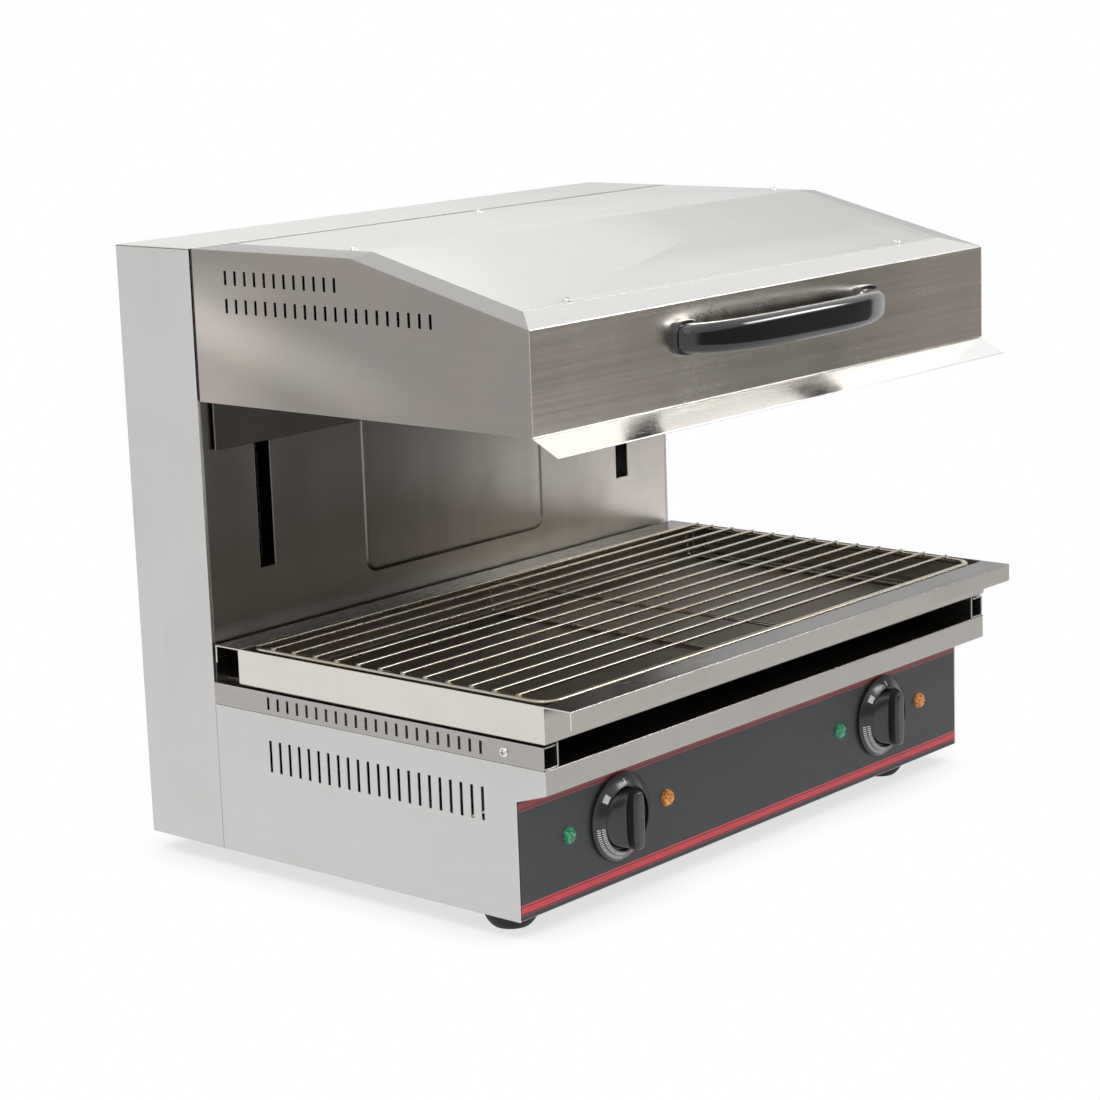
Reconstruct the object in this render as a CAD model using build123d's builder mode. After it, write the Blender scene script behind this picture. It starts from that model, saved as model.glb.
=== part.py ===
from build123d import *

import os

os.makedirs("parts", exist_ok=True)

# A countertop rise-and-fall grill (cheese melter). Millimetres, +Z up, the front faces -Y.
# The origin is on the floor under the middle of the object's outer box.

# Driving dimensions. Depths are forward of the column's front. Heights on the base are above its
# underside, and what hangs near the top is placed by its drop from the column's top.
WIDTH = 600.0
FOOT_HEIGHT = 15.0
COLUMN_HEIGHT = 498.0
COLUMN_DEPTH = 87.0
SHEET = 1.2

BASE_DEPTH = 358.0
PANEL_DEPTH = 328.0
DECK_HEIGHT = 124.0
BAND_HEIGHT = 19.5
PANEL_HEIGHT = 95.3
OVERLAY = 0.8
VENT_PITCH = 11.0
VENT_WIDTH = 3.0
VENT_START = 63.0
VENT_COUNT = 22
BASE_VENT_LOW = 75.5
BASE_VENT_HEIGHT = 26.5

RAIL_WIDTH = 17.4
RAIL_HEIGHT = 18.0
RAIL_LIP = 1.2
RAIL_VENT_HEIGHT = 10.5
RAIL_SCREW_DEPTH = 318.0

TRAY_BACK = 30.5
TRAY_FRONT = 359.0
TRAY_HEIGHT = 30.8
TRAY_FLANGE = 26.5
TRAY_LIP = 15.0
TRAY_BEND = 3.0

RIM_WIRE = 2.5
CROSS_WIRE = 1.5
GRID_SIDE_GAP = 8.0
GRID_BACK = 35.0
GRID_FRONT = 353.0
GRID_CORNER = 15.0
CROSS_PITCH = 24.0
CROSS_COUNT = 12
CROSS_START = 61.6
SHELF_WIRE_STEP = 9.0
LEG_INSET = 8.0

HOOD_DEPTH = 358.0
HOOD_GAP = 2.0
HOOD_HEIGHT = 123.0
HOOD_FALL = 44.0
CREASE_DEPTH = 180.5
HOOD_SKIN = 0.8
SIDE_STRIP = 25.0
END_STRIP = 27.0
STRIP_RISE = 2.5
LEDGE = 18.0
UPPER_VENTS = 12
LOWER_VENTS = 21
HOOD_VENT_START = 41.0
HOOD_VENT_HEIGHT = 11.5
UPPER_VENT_DROP = 27.2
LOWER_VENT_DROP = 49.5
REAR_PLATE_HANG = 42.0
REAR_PLATE_INSET = 13.5

SLAT_REACH = 23.0
SLAT_DROP = 12.5
SLAT_FLANGE = 15.0
SLAT_SHEET = 1.0

HANDLE_LENGTH = 272.0
HANDLE_REACH = 40.0
HANDLE_HEIGHT = 26.0
HANDLE_DEPTH = 14.0
HANDLE_FOOT = 40.0
HANDLE_RISE = 54.0

TRAVEL = 150.0
SLOT_X = 232.0
SLOT_WIDTH = 17.0
SLOT_END_GAP = 8.0
EMBOSS_HALF = 114.0
EMBOSS_ABOVE_DECK = 77.5
EMBOSS_DROP = 58.0
EMBOSS_STEP = 0.5
EMBOSS_CORNER = 8.0
ARM_WIDTH = 6.0
ARM_HEIGHT = 80.0
ARM_RISE = 10.0
ARM_FLANGE = 34.0
ARM_PLATE = 3.0
CARRIAGE_DEPTH = 34.0
CARRIAGE_HEIGHT = 60.0
CARRIAGE_END = 28.0
ROLLER_X = 190.0
ROLLER_RADIUS = 10.0
ROLLER_WIDTH = 10.0
ROLLER_SPREAD = 20.0
PIN_RADIUS = 4.0
RUNNING_FIT = 0.05
HOLE_PLAY = 0.1
HEAD_RATIO = 2.1
HEAD_HEIGHT_RATIO = 1.1
CHANNEL_PLAY = 0.3
CHANNEL_SHEET = 1.5
REEL_X = 90.0
REEL_RADIUS = 16.0
REEL_WIDTH = 26.0
REEL_DROP = 23.0
STRIP_THICK = 0.6

KNOB_X = 180.0
CONTROL_LEVEL = 54.0
SKIRT_RADIUS = 35.5
KNOB_RING = 25.0
KNOB_CONE = 8.5
KNOB_BAR = 12.0
KNOB_REACH = 13.5
SHAFT_RADIUS = 3.0
LAMP_OFFSET = 60.75
LAMP_RADIUS = 7.3
LAMP_REACH = 3.5

FOOT_RADIUS = 22.0
FOOT_X_LEFT = 271.0
FOOT_X = 228.0
FOOT_FRONT = 293.0
FOOT_BACK = 45.0

GLAND_BORE = 5.0
GLAND_REACH = 18.0
GLAND_X = 200.0
GLAND_LEVEL = 40.0

# Derived places.
HALF = WIDTH / 2
COLUMN_FRONT = (HOOD_DEPTH + HANDLE_REACH - COLUMN_DEPTH - GLAND_REACH) / 2
COLUMN_BACK = COLUMN_FRONT + COLUMN_DEPTH
BASE_Z = FOOT_HEIGHT
DECK_Z = BASE_Z + DECK_HEIGHT
TOP_Z = BASE_Z + COLUMN_HEIGHT
BAND_Z = DECK_Z - BAND_HEIGHT
PANEL_Z = BASE_Z + PANEL_HEIGHT
BAND_FRONT = COLUMN_FRONT - BASE_DEPTH
PANEL_FRONT = COLUMN_FRONT - PANEL_DEPTH
PLATE_FRONT = PANEL_FRONT + OVERLAY
PLATE_BACK = PLATE_FRONT + SHEET
CONTROL_Z = BASE_Z + CONTROL_LEVEL
TRAY_Z = DECK_Z + RAIL_HEIGHT + RAIL_LIP
TRAY_TOP = TRAY_Z + TRAY_HEIGHT
HOOD_Z = TOP_Z - HOOD_HEIGHT
HOOD_BACK = COLUMN_FRONT - HOOD_GAP
HOOD_FRONT = COLUMN_FRONT - HOOD_DEPTH
HOOD_WALL = 2 * HOOD_SKIN
CREASE_Y = COLUMN_FRONT - CREASE_DEPTH
FRONT_TOP_Z = TOP_Z - HOOD_FALL
SLOPE_RUN = HOOD_DEPTH - CREASE_DEPTH
ARM_Z = HOOD_Z + ARM_RISE
SLOT_LOW = ARM_Z - TRAVEL - SLOT_END_GAP
SLOT_TOP = ARM_Z + ARM_HEIGHT + SLOT_END_GAP
EMBOSS_LOW = DECK_Z + EMBOSS_ABOVE_DECK
EMBOSS_TOP = TOP_Z - EMBOSS_DROP
CARRIAGE_HALF = SLOT_X + CARRIAGE_END
CARRIAGE_Y = COLUMN_FRONT + CARRIAGE_DEPTH
CARRIAGE_Z = ARM_Z + (ARM_HEIGHT - CARRIAGE_HEIGHT) / 2
HANDLE_Z = HOOD_Z + HANDLE_RISE
REEL_Z = TOP_Z - REEL_DROP
PIN_HOLE = PIN_RADIUS + RUNNING_FIT


def block(x_low, x_high, y_low, y_high, z_low, z_high, mode=Mode.ADD):
    """Adds or cuts a straight block between two limits on each axis."""
    with Locations(((x_low + x_high) / 2, (y_low + y_high) / 2, (z_low + z_high) / 2)):
        Box(x_high - x_low, y_high - y_low, z_high - z_low, mode=mode)


def side_profile(x, thickness, points):
    """Extrudes an outline drawn in the side view, from x towards +X."""
    with BuildSketch(Plane.YZ.offset(x)) as outline:
        with BuildLine():
            Polyline(*points, close=True)
        make_face()
    extrude(outline.sketch, amount=thickness)


def round_bar(centre, radius, length, axis, mode=Mode.ADD):
    """Adds or cuts a round bar centred on a point, along X, Y or Z."""
    turn = {"X": (0, 90, 0), "Y": (90, 0, 0), "Z": (0, 0, 0)}[axis]
    with Locations(Location(centre, turn)):
        Cylinder(radius, length, mode=mode)


def side_vents(x, first_depth, count, low, height):
    """Cuts a row of upright slots through a side wall at x."""
    middle = COLUMN_FRONT - first_depth - (count - 1) * VENT_PITCH / 2
    with BuildSketch(Plane.YZ.offset(x)) as slots:
        with Locations((middle, low + height / 2)):
            with GridLocations(VENT_PITCH, 1, count, 1):
                Rectangle(VENT_WIDTH, height)
    extrude(slots.sketch, amount=2 * SHEET, both=True, mode=Mode.SUBTRACT)


def screws(places, shank_radius, shank_length):
    """Adds pan-head screws, each on a place whose Z points out of the head."""
    head_radius = HEAD_RATIO * shank_radius
    head_height = HEAD_HEIGHT_RATIO * shank_radius
    with Locations(*places):
        Cylinder(head_radius, head_height, align=(Align.CENTER, Align.CENTER, Align.MIN))
        Cylinder(shank_radius, shank_length, align=(Align.CENTER, Align.CENTER, Align.MAX))


def screw_holes(places, shank_radius, depth):
    """Cuts clearance holes for screws at their places."""
    with Locations(*places):
        Cylinder(shank_radius + HOLE_PLAY, 2 * depth, mode=Mode.SUBTRACT)


def facing(x, y, z, direction):
    """A place at a point whose Z looks in the given direction."""
    return Plane(origin=(x, y, z), z_dir=direction).location


# ---- Column -------------------------------------------------------------------------------------

COLUMN_RETURN = 3.0
BACK_RETURN = 14.0
FACE_HALF = HALF - COLUMN_RETURN
INSIDE = HALF - SHEET
SCREW_LENGTH = 8.0
BACK_SCREW_RADIUS = 1.8
BACK_SCREW_X = INSIDE - 6.0
BACK_SCREW_END = 20.0
BACK_SCREW_LEVELS = (BASE_Z + BACK_SCREW_END, (BASE_Z + TOP_Z) / 2, TOP_Z - BACK_SCREW_END)
LOUVRE_WIDTH = 70.0
LOUVRE_HEIGHT = 4.0
LOUVRE_PITCH = 12.0
LOUVRE_COLUMNS = 3
LOUVRE_ROWS = 5
LOUVRES_LOW = 140.0
LOUVRES_BELOW_TOP = 80.0
GLAND_Z = BASE_Z + GLAND_LEVEL
GLAND_THREAD = GLAND_BORE + 4.0
GLAND_INSIDE = 10.0

back_screw_places = [
    facing(side * BACK_SCREW_X, COLUMN_BACK, level, (0, 1, 0))
    for side in (-1, 1)
    for level in BACK_SCREW_LEVELS
]


def column_side(sign):
    """One side wall with a narrow return at the front and a wide one at the back."""
    edge = sign * HALF
    inner = edge - sign * SHEET
    front = edge - sign * COLUMN_RETURN
    back = edge - sign * BACK_RETURN
    back_high = COLUMN_BACK - SHEET
    with BuildPart() as wall:
        block(min(edge, inner), max(edge, inner), COLUMN_FRONT, COLUMN_BACK, BASE_Z, TOP_Z)
        block(min(edge, front), max(edge, front), COLUMN_FRONT, COLUMN_FRONT + SHEET, BASE_Z + SHEET, TOP_Z)
        block(min(edge, back), max(edge, back), back_high - SHEET, back_high, BASE_Z + SHEET, TOP_Z - SHEET)
        screw_holes(back_screw_places, BACK_SCREW_RADIUS, 3 * SHEET)
    return wall


column_side_left = column_side(-1)
column_side_left.part.label = "column_side_left"
export_step(column_side_left.part, "parts/column_side_left.step")

column_side_right = column_side(1)
column_side_right.part.label = "column_side_right"
export_step(column_side_right.part, "parts/column_side_right.step")

with BuildPart() as column_front_plate:
    block(-FACE_HALF, FACE_HALF, COLUMN_FRONT, COLUMN_FRONT + SHEET, DECK_Z - SHEET, TOP_Z - SHEET)
    # Two upright slots for the hood's arms.
    with BuildSketch(Plane.XZ.offset(-COLUMN_FRONT)):
        with Locations((0, (SLOT_LOW + SLOT_TOP) / 2)):
            with GridLocations(2 * SLOT_X, 1, 2, 1):
                Rectangle(SLOT_WIDTH, SLOT_TOP - SLOT_LOW)
    extrude(amount=-SHEET, mode=Mode.SUBTRACT)
    # The pressed middle panel, a shallow field with rounded corners.
    with BuildSketch(Plane.XZ.offset(-COLUMN_FRONT)):
        with Locations((0, (EMBOSS_LOW + EMBOSS_TOP) / 2)):
            RectangleRounded(2 * EMBOSS_HALF, EMBOSS_TOP - EMBOSS_LOW, EMBOSS_CORNER)
    extrude(amount=-EMBOSS_STEP, mode=Mode.SUBTRACT)
column_front_plate.part.label = "column_front_plate"
export_step(column_front_plate.part, "parts/column_front_plate.step")

with BuildPart() as column_cap:
    block(-INSIDE, INSIDE, COLUMN_FRONT + SHEET, COLUMN_BACK, TOP_Z - SHEET, TOP_Z)
    block(-FACE_HALF, FACE_HALF, COLUMN_FRONT, COLUMN_FRONT + SHEET, TOP_Z - SHEET, TOP_Z)
column_cap.part.label = "column_cap"
export_step(column_cap.part, "parts/column_cap.step")

with BuildPart() as column_back_cover:
    block(-INSIDE, INSIDE, COLUMN_BACK - SHEET, COLUMN_BACK, BASE_Z + SHEET, TOP_Z - SHEET)
    with BuildSketch(Plane.XZ.offset(-COLUMN_BACK)):
        with Locations((0, BASE_Z + LOUVRES_LOW), (0, TOP_Z - LOUVRES_BELOW_TOP)):
            with GridLocations(2 * LOUVRE_WIDTH, LOUVRE_PITCH, LOUVRE_COLUMNS, LOUVRE_ROWS):
                SlotOverall(LOUVRE_WIDTH, LOUVRE_HEIGHT)
    extrude(amount=SHEET, mode=Mode.SUBTRACT)
    screw_holes(back_screw_places, BACK_SCREW_RADIUS, 2 * SHEET)
    round_bar((GLAND_X, COLUMN_BACK, GLAND_Z), GLAND_THREAD + HOLE_PLAY, 4 * SHEET, "Y", mode=Mode.SUBTRACT)
column_back_cover.part.label = "column_back_cover"
export_step(column_back_cover.part, "parts/column_back_cover.step")

with BuildPart() as back_screws:
    screws(back_screw_places, BACK_SCREW_RADIUS, SCREW_LENGTH)
back_screws.part.label = "back_screws"
export_step(back_screws.part, "parts/back_screws.step")

# Mains inlet: a round gland whose hexagon seats on the back cover.
GLAND_HEX = 6.0
GLAND_HEX_RADIUS = GLAND_BORE + 6.0
GLAND_DOME_RADIUS = GLAND_BORE + 3.5
GLAND_ROUND = 2.0

with BuildPart() as cable_gland:
    with BuildSketch(Plane.XZ.offset(-COLUMN_BACK)):
        with Locations((GLAND_X, GLAND_Z)):
            RegularPolygon(GLAND_HEX_RADIUS, 6)
    extrude(amount=-GLAND_HEX)
    dome = GLAND_REACH - GLAND_HEX
    round_bar((GLAND_X, COLUMN_BACK + GLAND_HEX + dome / 2, GLAND_Z), GLAND_DOME_RADIUS, dome, "Y")
    fillet(cable_gland.edges().filter_by(GeomType.CIRCLE).sort_by(Axis.Y)[-1], GLAND_ROUND)
    round_bar((GLAND_X, COLUMN_BACK - GLAND_INSIDE / 2, GLAND_Z), GLAND_THREAD, GLAND_INSIDE, "Y")
    round_bar((GLAND_X, COLUMN_BACK, GLAND_Z), GLAND_BORE, 4 * GLAND_REACH, "Y", mode=Mode.SUBTRACT)
cable_gland.part.label = "cable_gland"
export_step(cable_gland.part, "parts/cable_gland.step")


# ---- Base ---------------------------------------------------------------------------------------


def base_side(x):
    """One side of the base, with the nose of the upper band and a row of vents."""
    with BuildPart() as wall:
        outline = [
            (COLUMN_FRONT, BASE_Z),
            (PANEL_FRONT, BASE_Z),
            (PANEL_FRONT, PANEL_Z),
            (BAND_FRONT, BAND_Z),
            (BAND_FRONT, DECK_Z),
            (COLUMN_FRONT, DECK_Z),
        ]
        side_profile(x, SHEET, outline)
        side_vents(x, VENT_START, VENT_COUNT, BASE_Z + BASE_VENT_LOW, BASE_VENT_HEIGHT)
    return wall


base_side_left = base_side(-HALF)
base_side_left.part.label = "base_side_left"
export_step(base_side_left.part, "parts/base_side_left.step")

base_side_right = base_side(INSIDE)
base_side_right.part.label = "base_side_right"
export_step(base_side_right.part, "parts/base_side_right.step")

# The deck folds down into the front band and back under it to the control panel.
with BuildPart() as base_deck:
    with BuildSketch(Plane.YZ.offset(-INSIDE)):
        with BuildLine():
            Polyline(
                (COLUMN_FRONT, DECK_Z),
                (BAND_FRONT, DECK_Z),
                (BAND_FRONT, BAND_Z),
                (PANEL_FRONT, PANEL_Z),
                (PANEL_FRONT + SHEET, PANEL_Z + SHEET),
                (BAND_FRONT + SHEET, BAND_Z + SHEET),
                (BAND_FRONT + SHEET, DECK_Z - SHEET),
                (COLUMN_FRONT, DECK_Z - SHEET),
                close=True,
            )
        make_face()
    extrude(amount=2 * INSIDE)
base_deck.part.label = "base_deck"
export_step(base_deck.part, "parts/base_deck.step")

foot_places = [
    (-FOOT_X_LEFT, COLUMN_FRONT - FOOT_FRONT),
    (FOOT_X, COLUMN_FRONT - FOOT_FRONT),
    (-FOOT_X, COLUMN_FRONT + FOOT_BACK),
    (FOOT_X, COLUMN_FRONT + FOOT_BACK),
]
FOOT_SCREW = 2.5
FLOOR_SLOT = 60.0
FLOOR_SLOT_WIDTH = 5.0
FLOOR_SLOT_PITCH = 20.0
FLOOR_SLOT_COLUMNS = 3
FLOOR_SLOT_ROWS = 6

with BuildPart() as base_floor:
    block(-INSIDE, INSIDE, PLATE_BACK, COLUMN_BACK, BASE_Z, BASE_Z + SHEET)
    with BuildSketch(Plane.XY.offset(BASE_Z)):
        with Locations((0, COLUMN_FRONT - PANEL_DEPTH / 2)):
            with GridLocations(1.5 * FLOOR_SLOT, FLOOR_SLOT_PITCH, FLOOR_SLOT_COLUMNS, FLOOR_SLOT_ROWS):
                SlotOverall(FLOOR_SLOT, FLOOR_SLOT_WIDTH)
    extrude(amount=SHEET, mode=Mode.SUBTRACT)
    for x, y in foot_places:
        round_bar((x, y, BASE_Z), FOOT_SCREW + HOLE_PLAY, 4 * SHEET, "Z", mode=Mode.SUBTRACT)
base_floor.part.label = "base_floor"
export_step(base_floor.part, "parts/base_floor.step")

# ---- Control panel ------------------------------------------------------------------------------

LAMP_NECK = 5.8
BUSHING = 5.0
OVERLAY_MARGIN = 0.8
knob_centres = [(-KNOB_X, CONTROL_Z), (KNOB_X, CONTROL_Z)]
green_centres = [(x - LAMP_OFFSET, z) for x, z in knob_centres]
amber_centres = [(x + LAMP_OFFSET, z) for x, z in knob_centres]


def control_sheet(front, thickness, half, low, high):
    """One upright sheet of the control panel, holed for both knobs and all four lamps."""
    with BuildPart() as sheet:
        with BuildSketch(Plane.XZ.offset(-front)):
            with Locations((0, (low + high) / 2)):
                Rectangle(2 * half, high - low)
            with Locations(*knob_centres):
                Circle(BUSHING + 3 * HOLE_PLAY, mode=Mode.SUBTRACT)
            with Locations(*green_centres, *amber_centres):
                Circle(LAMP_NECK + 2 * HOLE_PLAY, mode=Mode.SUBTRACT)
        extrude(amount=-thickness)
    return sheet


control_plate = control_sheet(PLATE_FRONT, SHEET, INSIDE, BASE_Z, PANEL_Z)
control_plate.part.label = "control_plate"
export_step(control_plate.part, "parts/control_plate.step")

overlay_low = BASE_Z + OVERLAY_MARGIN
overlay_high = PANEL_Z - OVERLAY_MARGIN
control_overlay = control_sheet(PANEL_FRONT, OVERLAY, INSIDE - OVERLAY_MARGIN, overlay_low, overlay_high)
control_overlay.part.label = "control_overlay"
export_step(control_overlay.part, "parts/control_overlay.step")

LAMP_NECK_LENGTH = 16.0
LAMP_CROWN = 2.6
LAMP_NUT_RADIUS = 9.0
LAMP_NUT_DEPTH = 4.0


def lamps(centres):
    """Signal lamps: a crowned lens on the panel's face and a neck through it."""
    with BuildPart() as lenses:
        for x, z in centres:
            round_bar((x, PANEL_FRONT - LAMP_REACH / 2, z), LAMP_RADIUS, LAMP_REACH, "Y")
        fillet(lenses.faces().group_by(Axis.Y)[0].edges(), LAMP_CROWN)
        for x, z in centres:
            round_bar((x, PANEL_FRONT + LAMP_NECK_LENGTH / 2, z), LAMP_NECK, LAMP_NECK_LENGTH, "Y")
    return lenses


lamps_green = lamps(green_centres)
lamps_green.part.label = "lamps_green"
export_step(lamps_green.part, "parts/lamps_green.step")

lamps_amber = lamps(amber_centres)
lamps_amber.part.label = "lamps_amber"
export_step(lamps_amber.part, "parts/lamps_amber.step")

with BuildPart() as lamp_nuts:
    with BuildSketch(Plane.XZ.offset(-PLATE_BACK)):
        with Locations(*green_centres, *amber_centres):
            RegularPolygon(LAMP_NUT_RADIUS, 6)
            Circle(LAMP_NECK + HOLE_PLAY, mode=Mode.SUBTRACT)
    extrude(amount=-LAMP_NUT_DEPTH)
lamp_nuts.part.label = "lamp_nuts"
export_step(lamp_nuts.part, "parts/lamp_nuts.step")

REGULATOR_HALF = 22.0
REGULATOR_LENGTH = 38.0
BLADE_LENGTH = 8.0
BLADE_WIDTH = 6.0
BLADE_THICK = 0.8
BLADE_X = 12.0
BLADE_RISE = 8.0
SHAFT_HOLE = SHAFT_RADIUS + RUNNING_FIT
SHAFT_END = 20.0
SHAFT_CLEAR = 10.0

with BuildPart() as regulators:
    for x, z in knob_centres:
        block(x - REGULATOR_HALF, x + REGULATOR_HALF, PLATE_BACK, PLATE_BACK + REGULATOR_LENGTH,
              z - REGULATOR_HALF, z + REGULATOR_HALF)
        round_bar((x, (PANEL_FRONT + PLATE_BACK) / 2, z), BUSHING, PLATE_BACK - PANEL_FRONT, "Y")
        round_bar((x, PLATE_BACK, z), SHAFT_HOLE, 2 * SHAFT_END + SHAFT_CLEAR, "Y", mode=Mode.SUBTRACT)
        # Four blade terminals on the back.
        back = PLATE_BACK + REGULATOR_LENGTH
        with Locations((x, back + BLADE_LENGTH / 2, z)):
            with Locations(*[(dx, 0, dz) for dx in (-BLADE_X, BLADE_X) for dz in (-BLADE_RISE, BLADE_RISE)]):
                Box(BLADE_WIDTH, BLADE_LENGTH, BLADE_THICK)
regulators.part.label = "regulators"
export_step(regulators.part, "parts/regulators.step")

KNOB_SEAT = 0.4
KNOB_SOCKET = 9.0
KNOB_BACK = PANEL_FRONT - KNOB_SEAT
SHAFT_TIP = KNOB_BACK - KNOB_SOCKET


def control_shaft(x):
    """A regulator's shaft, from inside the regulator to its knob's socket."""
    with BuildPart() as shaft:
        length = PLATE_BACK + SHAFT_END - SHAFT_TIP
        round_bar((x, SHAFT_TIP + length / 2, CONTROL_Z), SHAFT_RADIUS, length, "Y")
    return shaft


shaft_left = control_shaft(-KNOB_X)
shaft_left.part.label = "shaft_left"
export_step(shaft_left.part, "parts/shaft_left.step")

shaft_right = control_shaft(KNOB_X)
shaft_right.part.label = "shaft_right"
export_step(shaft_right.part, "parts/shaft_right.step")


SKIRT_BEVEL = 0.8
SKIRT_EDGE = 2.4
POCKET_WALL = 1.2
POCKET_FLOOR = 3.0
SOCKET_PLAY = 0.03


def control_knob(x):
    """A knob: a coned dial skirt with two finger pockets beside an upright grip bar."""
    with BuildPart() as knob:
        with BuildSketch(Plane.YZ.offset(x)):
            with BuildLine():
                Polyline(
                    (KNOB_BACK, CONTROL_Z),
                    (KNOB_BACK, CONTROL_Z + SKIRT_RADIUS - SKIRT_BEVEL),
                    (KNOB_BACK - SKIRT_BEVEL, CONTROL_Z + SKIRT_RADIUS),
                    (KNOB_BACK - SKIRT_EDGE, CONTROL_Z + SKIRT_RADIUS - SKIRT_BEVEL),
                    (KNOB_BACK - KNOB_CONE, CONTROL_Z + KNOB_RING),
                    (KNOB_BACK - KNOB_CONE, CONTROL_Z),
                    close=True,
                )
            make_face()
        revolve(axis=Axis((x, KNOB_BACK, CONTROL_Z), (0, 1, 0)))
        # The finger pockets.
        with BuildSketch(Plane.XZ.offset(-(KNOB_BACK - KNOB_CONE))):
            with Locations((x, CONTROL_Z)):
                Circle(KNOB_RING - POCKET_WALL)
                Rectangle(KNOB_BAR, 2 * KNOB_RING, mode=Mode.SUBTRACT)
        extrude(amount=-(KNOB_CONE - POCKET_FLOOR), mode=Mode.SUBTRACT)
        # The grip bar, round ended as the dial and crowned at its front edge.
        with BuildSketch(Plane.XZ.offset(-(KNOB_BACK - KNOB_CONE))):
            with Locations((x, CONTROL_Z)):
                Circle(KNOB_RING - POCKET_WALL)
                Rectangle(KNOB_BAR, 2 * KNOB_RING, mode=Mode.INTERSECT)
        extrude(amount=KNOB_REACH - KNOB_CONE)
        chamfer(knob.faces().sort_by(Axis.Y)[0].edges(), POCKET_WALL)
        socket = SHAFT_RADIUS + SOCKET_PLAY
        round_bar((x, KNOB_BACK, CONTROL_Z), socket, 2 * KNOB_SOCKET, "Y", mode=Mode.SUBTRACT)
    return knob


knob_left = control_knob(-KNOB_X)
knob_left.part.label = "knob_left"
export_step(knob_left.part, "parts/knob_left.step")

knob_right = control_knob(KNOB_X)
knob_right.part.label = "knob_right"
export_step(knob_right.part, "parts/knob_right.step")

TERMINAL_X = 158.0
TERMINAL_DEPTH = 41.0
TERMINAL_SIZE = (36.0, 22.0, 18.0)
TERMINAL_PITCH = (11.0, 12.0)
TERMINAL_GRID = (3, 2)
TERMINAL_HOLE = 2.2
TERMINAL_HOLE_DEPTH = 6.0

with BuildPart() as terminal_block:
    terminal_z = BASE_Z + SHEET
    with Locations((TERMINAL_X, COLUMN_FRONT + TERMINAL_DEPTH, terminal_z)):
        Box(*TERMINAL_SIZE, align=(Align.CENTER, Align.CENTER, Align.MIN))
    with BuildSketch(Plane.XY.offset(terminal_z + TERMINAL_SIZE[2])):
        with Locations((TERMINAL_X, COLUMN_FRONT + TERMINAL_DEPTH)):
            with GridLocations(*TERMINAL_PITCH, *TERMINAL_GRID):
                Circle(TERMINAL_HOLE)
    extrude(amount=-TERMINAL_HOLE_DEPTH, mode=Mode.SUBTRACT)
terminal_block.part.label = "terminal_block"
export_step(terminal_block.part, "parts/terminal_block.step")

# ---- Feet ---------------------------------------------------------------------------------------

FOOT_SOLE = 14.5
FOOT_BELLY = (18.0, 3.4)
FOOT_COLLAR = 2.0
FOOT_RECESS = 7.0
FOOT_RECESS_DEPTH = 8.0

with BuildPart() as feet:
    for x, y in foot_places:
        with BuildSketch(Plane(origin=(x, y, 0), x_dir=(1, 0, 0), z_dir=(0, -1, 0))):
            with BuildLine():
                Line((0, 0), (FOOT_SOLE, 0))
                ThreePointArc((FOOT_SOLE, 0), FOOT_BELLY, (FOOT_RADIUS, FOOT_HEIGHT - FOOT_COLLAR))
                Line((FOOT_RADIUS, FOOT_HEIGHT - FOOT_COLLAR), (FOOT_RADIUS, FOOT_HEIGHT))
                Line((FOOT_RADIUS, FOOT_HEIGHT), (0, FOOT_HEIGHT))
                Line((0, FOOT_HEIGHT), (0, 0))
            make_face()
        revolve(axis=Axis((x, y, 0), (0, 0, 1)))
        round_bar((x, y, 0), FOOT_RECESS, 2 * FOOT_RECESS_DEPTH, "Z", mode=Mode.SUBTRACT)
        round_bar((x, y, FOOT_HEIGHT), FOOT_SCREW + HOLE_PLAY, 2 * FOOT_HEIGHT, "Z", mode=Mode.SUBTRACT)
feet.part.label = "feet"
export_step(feet.part, "parts/feet.step")

with BuildPart() as foot_screws:
    foot_screw_places = [facing(x, y, FOOT_RECESS_DEPTH, (0, 0, -1)) for x, y in foot_places]
    screws(foot_screw_places, FOOT_SCREW, FOOT_HEIGHT)
foot_screws.part.label = "foot_screws"
export_step(foot_screws.part, "parts/foot_screws.step")

# ---- Tray rails, tray and wire grid -------------------------------------------------------------

RAIL_SCREW = 2.0
RAIL_SLIT = 3.0
RAIL_SETBACK = 1.0
rail_back = COLUMN_FRONT
rail_front = BAND_FRONT + RAIL_SETBACK


def tray_rail(sign):
    """A rolled channel: outer wall with vents, partial top lip, floor and a taller inner wall."""
    outer = sign * HALF
    inner = sign * (HALF - RAIL_WIDTH)
    top = DECK_Z + RAIL_HEIGHT
    lip = inner + sign * RAIL_SLIT
    places = [facing(outer, COLUMN_FRONT - RAIL_SCREW_DEPTH, DECK_Z + RAIL_HEIGHT / 2, (sign, 0, 0))]
    with BuildPart() as rail:
        with BuildSketch(Plane.XZ.offset(-rail_back)):
            with BuildLine():
                Polyline(
                    (lip, top),
                    (outer, top),
                    (outer, DECK_Z),
                    (inner, DECK_Z),
                    (inner, top + RAIL_LIP),
                    (inner + sign * SHEET, top + RAIL_LIP),
                    (inner + sign * SHEET, DECK_Z + SHEET),
                    (outer - sign * SHEET, DECK_Z + SHEET),
                    (outer - sign * SHEET, top - SHEET),
                    (lip, top - SHEET),
                    close=True,
                )
            make_face()
        extrude(amount=rail_back - rail_front)
        vents_low = DECK_Z + (RAIL_HEIGHT - RAIL_VENT_HEIGHT) / 2
        side_vents(outer, VENT_START, VENT_COUNT, vents_low, RAIL_VENT_HEIGHT)
        screw_holes(places, RAIL_SCREW, 2 * SHEET)
    return rail, places


rail_left, screw_place_left = tray_rail(-1)
rail_left.part.label = "rail_left"
export_step(rail_left.part, "parts/rail_left.step")

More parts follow.
